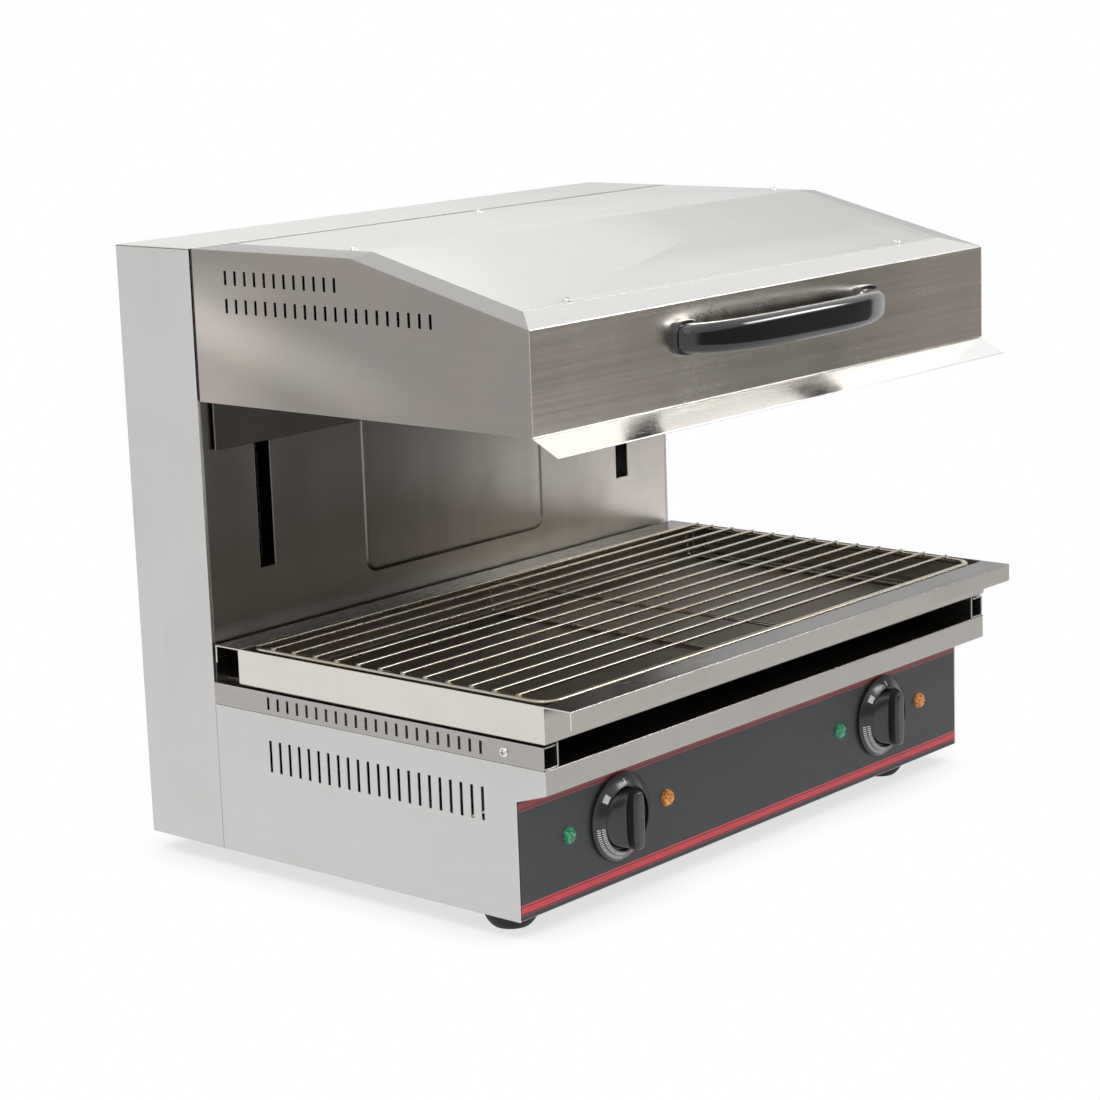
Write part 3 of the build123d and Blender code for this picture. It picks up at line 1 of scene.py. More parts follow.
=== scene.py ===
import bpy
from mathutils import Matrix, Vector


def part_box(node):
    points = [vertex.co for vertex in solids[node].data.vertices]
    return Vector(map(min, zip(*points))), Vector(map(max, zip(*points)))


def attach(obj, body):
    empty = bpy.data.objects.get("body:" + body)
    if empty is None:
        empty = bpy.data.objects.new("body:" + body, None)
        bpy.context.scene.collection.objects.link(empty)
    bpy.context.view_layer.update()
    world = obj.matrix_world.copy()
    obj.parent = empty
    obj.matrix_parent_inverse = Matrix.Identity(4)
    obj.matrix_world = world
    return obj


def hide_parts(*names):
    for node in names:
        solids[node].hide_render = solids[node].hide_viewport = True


bl_info = {
    "name": "Cheese melter finish",
    "version": (1, 0, 0),
    "blender": (4, 5, 0),
    "location": "3D View > Sidebar > Grill",
    "description": "Dresses the rise-and-fall grill's solids with finishes, edges, welds, screws and lenses",
    "category": "Object",
}

import math

import bmesh
import bpy
import numpy as np
from bpy.props import FloatProperty, FloatVectorProperty, IntProperty, PointerProperty
from mathutils import Matrix, Vector

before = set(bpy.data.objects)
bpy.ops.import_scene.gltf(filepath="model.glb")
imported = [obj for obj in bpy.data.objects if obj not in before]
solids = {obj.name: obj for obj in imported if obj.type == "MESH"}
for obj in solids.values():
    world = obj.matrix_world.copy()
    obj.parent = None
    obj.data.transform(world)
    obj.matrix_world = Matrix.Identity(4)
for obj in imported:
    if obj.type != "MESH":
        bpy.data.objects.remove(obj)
MM = 0.001


def centre_of(node):
    """Middle of a solid's box, as an array in metres."""
    low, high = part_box(node)
    return (np.array(low) + np.array(high)) / 2


# ---- Materials ----------------------------------------------------------------------------------


class Value:
    """One output in a material. Arithmetic on it adds Math nodes, so shader maths reads as Python."""

    def __init__(self, surface, socket):
        self.surface = surface
        self.socket = socket

    def math(self, operation, first, second=0.0, third=0.0):
        return self.surface.node("Math", {"operation": operation}, {0: first, 1: second, 2: third})

    def __add__(self, other):
        return self.math("ADD", self, other)

    def __radd__(self, other):
        return self.math("ADD", other, self)

    def __sub__(self, other):
        return self.math("SUBTRACT", self, other)

    def __rsub__(self, other):
        return self.math("SUBTRACT", other, self)

    def __mul__(self, other):
        return self.math("MULTIPLY", self, other)

    def __rmul__(self, other):
        return self.math("MULTIPLY", other, self)

    def __truediv__(self, other):
        return self.math("DIVIDE", self, other)

    def __pow__(self, other):
        return self.math("POWER", self, other)

    def __gt__(self, other):
        return self.math("GREATER_THAN", self, other)

    def __lt__(self, other):
        return self.math("LESS_THAN", self, other)

    def __abs__(self):
        return self.math("ABSOLUTE", self)

    def above(self, edge, soft):
        """Rises smoothly from 0 to 1 as the value passes edge, over a width of 2 soft."""
        return self.surface.node(
            "MapRange", {"interpolation_type": "SMOOTHSTEP"},
            {"Value": self, "From Min": edge - soft, "From Max": edge + soft},
        )

    def between(self, low, high, soft):
        """Is 1 between two limits and 0 outside them, with soft edges."""
        return self.above(low, soft) - self.above(high, soft)


class Surface:
    """A material being made: its node tree, its object coordinates and its shader."""

    def __init__(self, name):
        self.material = bpy.data.materials.new(name)
        self.material.use_nodes = True
        self.tree = self.material.node_tree
        self.tree.nodes.clear()
        self.place = self.node("TexCoord", output="Object")
        self.x = self.node("SeparateXYZ", {}, {0: self.place}, "X")
        self.y = Value(self, self.x.socket.node.outputs["Y"])
        self.z = Value(self, self.x.socket.node.outputs["Z"])

    def node(self, kind, settings=None, sockets=None, output=0):
        """Adds a node, sets its settings, then values or links on its sockets. Returns one output."""
        node = self.tree.nodes.new("ShaderNode" + kind)
        for name, setting in (settings or {}).items():
            if name == "stops":
                ramp = node.color_ramp.elements
                while len(ramp) < len(setting):
                    ramp.new(1.0)
                for element, (position, colour) in zip(ramp, setting):
                    element.position = position
                    element.color = (*colour, 1.0)
            else:
                setattr(node, name, setting)
        for name, value in (sockets or {}).items():
            if isinstance(value, Value):
                self.tree.links.new(value.socket, node.inputs[name])
            else:
                node.inputs[name].default_value = value
        return Value(self, node.outputs[output])

    def noise(self, scale, stretch=(1, 1, 1), detail=3.0, roughness=0.55, shift=0.0):
        """Noise from 0 to 1 on object coordinates, scale in lumps per metre, longer where stretch is small."""
        where = self.node("Mapping", {}, {"Vector": self.place, "Scale": stretch, "Location": (shift,) * 3})
        sockets = {"Vector": where, "Scale": scale, "Detail": detail, "Roughness": roughness}
        return self.node("TexNoise", {}, sockets)

    def facing(self, axis):
        """How squarely a face looks along an axis, X, Y or Z, either way: from 0 to 1."""
        return abs(self.node("SeparateXYZ", {}, {0: self.node("NewGeometry", output="True Normal")}, axis))

    def grained(self, scale, grain, detail, shift=0.0):
        """Noise drawn out along the grain. With two letters, faces that look along X take the second one."""
        streaks = self.noise(scale, GRAINS[grain[0]], detail, shift=shift)
        if len(grain) == 2:
            other = self.noise(scale, GRAINS[grain[1]], detail, shift=shift)
            streaks = streaks + self.facing("X").above(0.7, 0.05) * (other - streaks)
        return streaks

    def blend(self, share, first, second):
        """Mixes two colours, from the first at 0 to the second at 1."""
        first = (*first, 1.0) if isinstance(first, tuple) else first
        second = (*second, 1.0) if isinstance(second, tuple) else second
        return self.node("Mix", {"data_type": "RGBA"}, {0: share, 6: first, 7: second}, 2)

    def shade(self, share, colour):
        """Multiplies a colour by a value."""
        grey = self.node("CombineColor", {}, {0: share, 1: share, 2: share})
        return self.node("Mix", {"data_type": "RGBA", "blend_type": "MULTIPLY"}, {0: 1.0, 6: colour, 7: grey}, 2)

    def bump(self, height, depth, strength=1.0, normal=None):
        """Normal that follows a height from 0 to 1, depth in metres at 1, on top of another normal."""
        sockets = {"Strength": strength, "Distance": depth, "Height": height}
        if normal is not None:
            sockets["Normal"] = normal
        return self.node("Bump", {}, sockets)

    def folded(self, radius):
        """Normal rounded over folds and edges, and how far it turns there: 0 on flats, 1 on edges."""
        soft = self.node("Bevel", {"samples": 4}, {"Radius": radius})
        face = self.node("NewGeometry", output="True Normal")
        same = self.node("VectorMath", {"operation": "DOT_PRODUCT"}, {0: soft, 1: face}, "Value")
        return soft, (1.0 - same).above(0.09, 0.08)

    def principled(self, **sockets):
        """The closing shader. Underscores in the names stand for spaces."""
        named = {name.replace("_", " "): value for name, value in sockets.items()}
        for name, value in named.items():
            if isinstance(value, tuple) and len(value) == 3:
                named[name] = (*value, 1.0)
        return self.close(self.node("BsdfPrincipled", {}, named))

    def close(self, shader):
        """Links a shader to the material's output."""
        out = self.tree.nodes.new("ShaderNodeOutputMaterial")
        self.tree.links.new(shader.socket, out.inputs["Surface"])
        return self.material


GRAINS = {"X": (0.012, 1.0, 1.0), "Y": (1.0, 0.012, 1.0), "Z": (1.0, 1.0, 0.012)}


FOLD = 1.3 * MM


def brushed(name, tone, grain, roughness=0.3, streak=0.12, cloud=0.06, stain=(0.62, 0.55, 0.46), stained=0.06,
            strip=None, seams=(), inner=None, painted_light=None):
    """Brushed stainless sheet: fine streaks along the grain, slow clouds, warm stains, and folds and edges painted
    lighter, partly rubbed metal and partly a painted highlight.

    strip is (mask of the surface, tone) for a face painted lighter, as light falls on it, inner the same for a face
    painted darker, as shade (in the tray's well also cooking stain), seams are masks of thin painted shadow lines
    where two sheets meet, and the last argument is a slow painted change of lightness, light and shade.
    """
    s = Surface(name)
    soft, edge = s.folded(FOLD)
    fine = s.grained(1100.0, grain, 2.0)
    coarse = s.grained(240.0, grain, 3.0, 3.1)
    clouds = s.noise(5.0, detail=4.0, shift=1.7)
    patches = s.noise(13.0, detail=5.0, roughness=0.6, shift=5.3).above(0.6, 0.2)
    level = 1.0 + streak * (fine * 0.6 + coarse * 0.9 - 0.75) + 2.0 * cloud * (clouds - 0.5)
    colour = s.blend(patches * stained, tone, tuple(c * t for c, t in zip(stain, tone)))
    # Painted light and shade: a slow change of lightness laid over the sheet.
    if painted_light:
        colour = s.shade(painted_light(s), colour)
    rough = roughness + 0.12 * (coarse - 0.5) + 0.1 * (clouds - 0.5) + 0.06 * patches
    # Painted light and shade: strip faces painted lighter as if lit, inner faces painted darker as if shaded (the
    # tray's well partly cooking stain).
    for region in (strip, inner):
        if region:
            colour = s.blend(region[0](s), colour, region[1])
    if inner:
        rough = rough + 0.32 * inner[0](s)
    # Folds and edges painted lighter: partly rubbed metal, partly a painted highlight along their rounding.
    colour = s.blend(edge * 0.55, s.shade(level, colour), tuple(min(0.92, 1.25 * t + 0.12) for t in tone))
    # Painted shadow: thin near-black lines where two sheets meet.
    for seam in seams:
        colour = s.blend(seam(s), colour, (0.02, 0.018, 0.016))
    return s.principled(
        Base_Color=colour, Metallic=1.0, Roughness=rough - 0.08 * edge,
        Normal=s.bump(fine + coarse, 0.00001, 0.35, soft),
    )


def shaded_plate(name, tone, far_tone, low, high, lift, roughness, groove=None):
    """Dull stainless plate behind the cooking space, with soft heat clouds and painted shade: darker on the left and
    above.

    lift is how much lighter its foot is, a painted reflection of the deck it mirrors, and groove is a mask of painted
    shadow along the pressed panel.
    """
    s = Surface(name)
    soft, edge = s.folded(FOLD)
    fine = s.noise(1100.0, GRAINS["X"], 2.0)
    coarse = s.noise(200.0, GRAINS["X"], 3.0, shift=2.2)
    clouds = s.noise(6.0, detail=4.0, shift=4.4)
    haze = s.noise(22.0, (1.0, 1.0, 0.5), 4.0, shift=7.0).above(0.56, 0.2)
    # Painted shade: from the dark tone on the left to the lighter far tone on the right, with the foot on the left
    # painted lighter as a reflection of the deck.
    across = s.x.above((low + high) / 2, (high - low) / 2)
    foot = 1.0 - s.z.above(0.255, 0.11)
    base = s.blend(across, tone, far_tone)
    level = 1.0 + 0.1 * (coarse - 0.5) + 0.06 * (fine - 0.5) + 0.3 * (clouds - 0.5) + lift * foot * (1.0 - across)
    stained = s.blend(haze * 0.14, base, tuple(0.6 * c for c in tone))
    # Edges painted lighter: partly rubbed metal, partly a painted highlight.
    colour = s.blend(edge * 0.6, s.shade(level, stained), (0.55, 0.54, 0.52))
    # Painted shadow along the pressed panel's edge, near black.
    if groove:
        colour = s.blend(groove(s), colour, (0.02, 0.019, 0.018))
    rough = roughness + 0.1 * (clouds - 0.5) + 0.08 * haze
    return s.principled(
        Base_Color=colour, Metallic=1.0, Roughness=rough, Normal=s.bump(fine + coarse, 0.00001, 0.35, soft),
    )


def bright_wire(name, tone):
    """Plated wire: bright, with straw heat tint and small dull spots."""
    s = Surface(name)
    tint = s.noise(22.0, detail=3.0).above(0.52, 0.18)
    spots = s.noise(260.0, detail=4.0, shift=2.0).above(0.66, 0.06)
    straw = (0.9 * tone[0], 0.78 * tone[1], 0.6 * tone[2])
    colour = s.blend(spots * 0.5, s.blend(tint * 0.55, tone, straw), (0.2, 0.16, 0.12))
    rough = 0.2 + 0.1 * tint + 0.25 * spots
    return s.principled(Base_Color=colour, Metallic=1.0, Roughness=rough, Normal=s.bump(spots, 0.00003, 0.6))


def plated(name, tone, roughness=0.3, sheen=(0.9, 0.85, 0.7), recess=0.0):
    """Zinc or nickel plate: mottled grains of slightly different tone, with painted shade in recesses of a given
    depth.
    """
    s = Surface(name)
    grains = s.node("TexVoronoi", {}, {"Vector": s.place, "Scale": 420.0}, "Color")
    spangle = s.node("SeparateColor", {}, {0: grains})
    clouds = s.noise(30.0, detail=3.0)
    base = s.blend(clouds.above(0.5, 0.3) * 0.35, tone, tuple(a * b for a, b in zip(tone, sheen)))
    colour = s.shade(0.86 + 0.28 * spangle, base)
    # Painted shade: ambient occlusion darkens recesses, such as a screw head's cross.
    if recess:
        open_sky = s.node("AmbientOcclusion", {"samples": 8, "only_local": True}, {"Distance": recess}, "AO")
        colour = s.shade(0.08 + 0.92 * open_sky.above(0.5, 0.3), colour)
    rough = roughness + 0.18 * (spangle - 0.5) + 0.1 * (clouds - 0.5)
    return s.principled(Base_Color=colour, Metallic=1.0, Roughness=rough, Normal=s.bump(clouds, 0.00005, 0.3))


def moulded(name, tone, roughness, grain=0.00002, lumps=900.0, dusty=0.05, coat=0.0):
    """Moulded plastic: faint mould texture, slow change of gloss, and light dust in scattered patches."""
    s = Surface(name)
    texture = s.noise(lumps, detail=2.0)
    clouds = s.noise(24.0, detail=3.0, shift=2.4)
    dust = s.noise(90.0, detail=5.0, shift=6.1).above(0.64, 0.1)
    light = tuple(c + dusty for c in tone)
    colour = s.blend(dust * 0.35, tone, light)
    rough = roughness * (1.0 + 0.4 * (clouds - 0.5) + 0.3 * dust)
    return s.principled(
        Base_Color=colour, Roughness=rough, Coat_Weight=coat, Coat_Roughness=0.04,
        Normal=s.bump(texture, grain, 0.4),
    )


def rubber(name, tone):
    """Moulded rubber: matt, with a fine skin and a chalky bloom."""
    s = Surface(name)
    skin = s.noise(1400.0, detail=3.0)
    bloom = s.noise(60.0, detail=5.0, shift=1.3).above(0.55, 0.2)
    colour = s.blend(bloom * 0.4, tone, tuple(c + 0.04 for c in tone))
    return s.principled(
        Base_Color=colour, Roughness=0.62 + 0.15 * bloom, Specular_IOR_Level=0.35,
        Normal=s.bump(skin, 0.00006, 0.5),
    )


def heater(name, tone):
    """Tubular element: oxidised sheath, grey and brown, with a fine scale."""
    s = Surface(name)
    scale = s.noise(700.0, detail=4.0)
    burn = s.noise(35.0, detail=4.0, shift=3.0).above(0.5, 0.2)
    colour = s.blend(burn, tone, (0.09, 0.055, 0.04))
    rough = 0.5 + 0.2 * burn
    return s.principled(Base_Color=colour, Metallic=0.6, Roughness=rough, Normal=s.bump(scale, 0.00006, 0.6))


def lens(name, tone, glow):
    """Signal lamp lens: tinted plastic, mottled deeper in tint along fine noise ribs, with painted glints of light
    specks where its inner prisms would catch light.
    """
    s = Surface(name)
    prisms = s.node("TexVoronoi", {}, {"Vector": s.place, "Scale": 420.0}, "Color")
    painted_sparkle = s.node("SeparateColor", {}, {0: prisms})
    ribs = s.noise(500.0, detail=2.0)
    deep = tuple(0.3 * c for c in tone)
    light = tuple(min(1.0, 1.6 * c + 0.03) for c in tone)
    # Painted glints: light specks where the Voronoi cells are brightest.
    colour = s.blend(painted_sparkle.above(0.7, 0.14), s.blend(ribs.above(0.5, 0.2), deep, tone), light)
    return s.principled(
        Base_Color=colour, Roughness=0.08 + 0.1 * painted_sparkle, IOR=1.49, Coat_Weight=0.3,
        Coat_Roughness=0.03, Emission_Color=glow, Emission_Strength=0.12, Normal=s.bump(ribs, 0.0003, 0.4),
    )


def printed_film(name, tone, line, low, high):
    """Printed control film: along each long edge a thick red stripe, a thin one inside it and a fine one outside."""
    s = Surface(name)
    film = s.noise(1500.0, detail=2.0)
    clouds = s.noise(9.0, detail=4.0, shift=1.1)
    smears = s.noise(26.0, (1.0, 1.0, 2.0), 4.0, shift=5.0).above(0.58, 0.16)
    soft = 0.00012
    stripes = 0.0
    for start, end in ((5.2, 9.9), (10.7, 12.1)):
        from_foot = s.z.between(low + start * MM, low + end * MM, soft)
        from_head = s.z.between(high - (end - 4.0) * MM, high - (start - 4.0) * MM, soft)
        stripes = stripes + from_foot + 0.4 * from_head
    fine = s.z.between(low + 3.3 * MM, low + 4.4 * MM, soft) * 0.4
    base = s.blend(clouds, tone, tuple(1.3 * c for c in tone))
    base = s.blend(smears * 0.3, base, tuple(c + 0.02 for c in tone))
    ink = s.blend(clouds, line, tuple(min(1.0, 1.25 * c + 0.02) for c in line))
    colour = s.blend(stripes + fine, base, ink)
    rough = 0.4 + 0.1 * (clouds - 0.5) + 0.08 * smears - 0.08 * stripes
    return s.principled(Base_Color=colour, Roughness=rough, Specular_IOR_Level=0.35, Normal=s.bump(film, 0.00001, 0.3))


def dial(name, tone, mark, middle, skirt, ring):
    """Control knob: black moulding with white dial marks on its skirt, placed by angle round its middle."""
    s = Surface(name)
    across = s.x - float(middle[0])
    up = s.z - float(middle[2])
    radius = (across * across + up * up) ** 0.5
    turn = s.node("Math", {"operation": "ARCTAN2"}, {0: across, 1: up}) / math.tau
    back = s.node("Math", {"operation": "FRACT"}, {0: turn + 1.0})
    texture = s.noise(1100.0, detail=2.0)
    clouds = s.noise(60.0, detail=3.0)
    worn = s.noise(420.0, detail=4.0, shift=2.0).above(0.4, 0.2)
    inner, outer = ring + 2.2 * MM, skirt - 2.4 * MM
    tick = (1.0 - abs(across).above(0.7 * MM, 0.00015)) * up.above(0.0, 0.0005) * radius.between(
        inner + 1.0 * MM, outer - 1.2 * MM, 0.00015)
    phase = s.node("Math", {"operation": "FRACT"}, {0: back * 104.0})
    split = 1.0 - radius.between((inner + outer) / 2 - 0.3 * MM, (inner + outer) / 2 + 0.5 * MM, 0.00015)
    fan = back.between(0.52, 0.738, 0.002)
    rays = phase.between(0.26, 0.74, 0.08) * fan * split * radius.between(inner, outer, 0.00015)
    arc = back.between(0.44, 0.6, 0.03) * radius.between(inner + 1.0 * MM, outer - 0.6 * MM, 0.0008) * 0.12
    block = back.between(0.849, 0.885, 0.001) * radius.between(inner + 0.9 * MM, outer - 0.9 * MM, 0.00015)
    marks = tick
    for other in (rays, arc, block):
        marks = s.node("Math", {"operation": "MAXIMUM"}, {0: marks, 1: other})
    # Painted shade: the ring groove is painted near black, as shade in it.
    groove = radius.between(ring - 0.8 * MM, ring + 0.9 * MM, 0.0002)
    tone = s.blend(groove, tone, (0.001, 0.001, 0.001))
    colour = s.blend(marks * (0.75 + 0.25 * worn), tone, mark)
    rough = 0.3 + 0.12 * (clouds - 0.5) + 0.15 * marks
    return s.principled(
        Base_Color=colour, Roughness=rough, Coat_Weight=0.3, Coat_Roughness=0.12,
        Normal=s.bump(texture, 0.00002, 0.4),
    )


# ---- Surfaces -----------------------------------------------------------------------------------


def patch(points, wrap_rows=False, wrap_columns=False):
    """Points of a grid, rows by columns by 3, and one four-sided face for each of its cells."""
    rows, columns = points.shape[:2]
    index = np.arange(rows * columns).reshape(rows, columns)
    if wrap_rows:
        index = np.vstack([index, index[:1]])
    if wrap_columns:
        index = np.hstack([index, index[:, :1]])
    faces = np.stack([index[:-1, :-1], index[1:, :-1], index[1:, 1:], index[:-1, 1:]], axis=-1)
    return points.reshape(-1, 3), faces.reshape(-1, 4)


def rounded(angle, power):
    """Cosine and sine of an angle bent into a superellipse: power 2 is a circle, more is squarer."""
    cosine, sine = np.cos(angle), np.sin(angle)
    bend = 2.0 / power
    return np.sign(cosine) * np.abs(cosine) ** bend, np.sign(sine) * np.abs(sine) ** bend


def turned(profile, centre, axis, sides, shape=None):
    """Profile of (radius, height) pairs turned about an axis: radius times cosine and sine, plus height along it."""
    axis = np.array(axis, float) / np.linalg.norm(axis)
    side = np.cross(axis, [0.0, 0.0, 1.0] if abs(axis[2]) < 0.9 else [1.0, 0.0, 0.0])
    side /= np.linalg.norm(side)
    other = np.cross(axis, side)
    turn = np.linspace(0.0, math.tau, sides, endpoint=False)
    radius, height = np.array(profile, float).T
    scale = np.ones((len(radius), sides)) if shape is None else shape(radius[:, None], turn[None, :])
    across = radius[:, None] * scale
    points = (
        np.array(centre, float)
        + across[..., None] * (np.cos(turn)[None, :, None] * side + np.sin(turn)[None, :, None] * other)
        + height[:, None, None] * axis
    )
    return patch(points, wrap_columns=True)


def slab(centre, axis, across, rings, sides=64):
    """Stack of closed rings (half width, half height, power, height along the axis), each a superellipse."""
    axis, across = np.array(axis, float), np.array(across, float)
    other = np.cross(axis, across)
    turn = np.linspace(0.0, math.tau, sides, endpoint=False)
    half_width, half_height, power, height = (column[:, None] for column in np.array(rings, float).T)
    wide, tall = rounded(turn[None, :], power)
    points = (
        np.array(centre, float)
        + (half_width * wide)[..., None] * across
        + (half_height * tall)[..., None] * other
        + (height * np.ones_like(wide))[..., None] * axis
    )
    return patch(points, wrap_columns=True)


def piece(name, patches, material, body, stands_for=(), crease=math.radians(40)):
    """Joins patches into one mesh piece, merges its seams, turns its faces outwards and hangs it on its body."""
    vertices, faces, start = [], [], 0
    for points, cells in patches:
        vertices.append(points)
        faces.append(cells + start)
        start += len(points)
    mesh = bpy.data.meshes.new(name)
    mesh.from_pydata(np.concatenate(vertices).tolist(), [], np.concatenate(faces).tolist())
    work = bmesh.new()
    work.from_mesh(mesh)
    bmesh.ops.remove_doubles(work, verts=work.verts, dist=1e-6)
    bmesh.ops.dissolve_degenerate(work, edges=work.edges, dist=1e-7)
    holes = [edge for edge in work.edges if edge.is_boundary]
    if holes:
        bmesh.ops.holes_fill(work, edges=holes, sides=0)
    bmesh.ops.recalc_face_normals(work, faces=work.faces)
    work.to_mesh(mesh)
    work.free()
    mesh.shade_smooth()
    mesh.set_sharp_from_angle(angle=crease)
    mesh.materials.append(material)
    thing = bpy.data.objects.new(name, mesh)
    bpy.context.scene.collection.objects.link(thing)
    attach(thing, body)
    if stands_for:
        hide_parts(*stands_for)
    return thing


def edge_round(node, width, angle=math.radians(35)):
    """Rounds the sharp edges of a solid: its loose triangles are welded, its flats joined, then bevelled."""
    weld = node.modifiers.new("weld", "WELD")
    weld.merge_threshold = 1e-6
    flat = node.modifiers.new("flats", "DECIMATE")
    flat.decimate_type = "DISSOLVE"
    flat.angle_limit = 0.01
    bevel = node.modifiers.new("edges", "BEVEL")
    bevel.width = width
    bevel.segments = 2
    bevel.limit_method = "ANGLE"
    bevel.angle_limit = angle
    bevel.harden_normals = True


def dress(names, material, edge=0.0):
    """Gives solids their finish and, where edge isn't 0, small rounded edges."""
    for name in names:
        mesh = solids[name].data
        mesh.materials.clear()
        mesh.materials.append(material)
        if edge:
            edge_round(solids[name], edge)


# ---- Settings -----------------------------------------------------------------------------------


def tone(name, description, default):
    """A colour setting."""
    return FloatVectorProperty(
        name=name, description=description, default=default, min=0.0, max=1.0, size=3, subtype="COLOR"
    )


def length(name, description, default):
    """A length setting, in metres."""
    return FloatProperty(
        name=name, description=description, default=default, min=0.0, precision=5, unit="LENGTH"
    )


class GrillStage(bpy.types.PropertyGroup):
    ground: tone("Ground", "Colour of the floor that lights the object from below", (0.85, 0.85, 0.85))
    fill: FloatProperty(name="Fill", description="Even light from all round", default=0.62, min=0.0)
    key: FloatProperty(name="Key", description="Power of the large lamp", default=19.0, min=0.0, unit="POWER")
    flag: tone("Flag", "What gloss on the front mirrors from the right", (0.2, 0.191, 0.179))
    window: FloatProperty(name="Window", description="Brightness of the window above the flag", default=12.0, min=1.0)
    lens: FloatProperty(name="Lens", description="Focal length on a 36 mm frame", default=95.03, unit="CAMERA")


# Steel tones, part by part: besides each sheet's own finish they hold painted light and shade, set to how bright each
# face looks, so the hood's sides are darker than its top and front.
class GrillSteel(bpy.types.PropertyGroup):
    column: tone("Column", "Column and base sides", (0.60, 0.595, 0.585))
    rail: tone("Rails", "The tray's rails", (0.42, 0.405, 0.385))
    side: tone("Hood side", "Side walls of the hood", (0.345, 0.32, 0.295))
    strip: tone("Hood strips", "Rising strips round the hood's cover", (0.395, 0.386, 0.372))
    top: tone("Hood top", "Cover and cap", (0.74, 0.73, 0.705))
    front: tone("Hood front", "Front wall of the hood", (0.82, 0.775, 0.705))
    slat: tone("Slat", "Bright slat under the hood's front", (0.9, 0.895, 0.88))
    # Painted shade: both plates sit in the hood's shadow and are toned near black.
    plate: tone("Column plate", "Plate behind the cooking space", (0.15, 0.141, 0.13))
    rear: tone("Rear plate", "Hood's own rear plate", (0.1, 0.09, 0.077))
    tray: tone("Tray", "Drip tray", (0.60, 0.575, 0.53))
    band: tone("Band", "Deck with its front band", (0.42, 0.4, 0.375))
    # The well's tone is partly cooking stain and partly painted shade under the hood.
    well: tone("Tray well", "Inside of the drip tray, stained by cooking", (0.195, 0.168, 0.137))
    edge: length("Edge", "Rounding of cut and folded sheet edges", 0.00035)


class GrillTrim(bpy.types.PropertyGroup):
    handle: tone("Handle", "Moulded handle", (0.004, 0.004, 0.0045))
    knob: tone("Knob", "Control knobs", (0.02, 0.021, 0.023))
    mark: tone("Dial marks", "Marks on the knobs' skirts", (0.82, 0.82, 0.8))
    film: tone("Film", "Printed control film", (0.05, 0.053, 0.057))
    line: tone("Lines", "Red lines on the film", (0.7, 0.06, 0.075))
    green: tone("Green lens", "Green lamps", (0.0, 0.3, 0.12))
    amber: tone("Amber lens", "Amber lamps", (0.85, 0.26, 0.01))
    bar: length("Knob bar", "How far a knob's bar stands off the panel", 0.0222)
    band: length("Band", "Thickness of the handle's bow", 0.0145)
    foot: length("Foot", "Width of the handle's two feet", 0.031)
    drop: length("Drop", "How far the bow sits below the middle of its solid", 0.0026)
    squareness: FloatProperty(
        name="Squareness", description="2 gives the handle an oval section, more a squarer one", default=3.3, min=2.0
    )
    facets: IntProperty(name="Facets", description="Facets round a lamp's lens", default=12, min=3)
    bead: length("Weld bead", "Half width of a weld bead on the grid", 0.0021)


# ---- Operators ----------------------------------------------------------------------------------


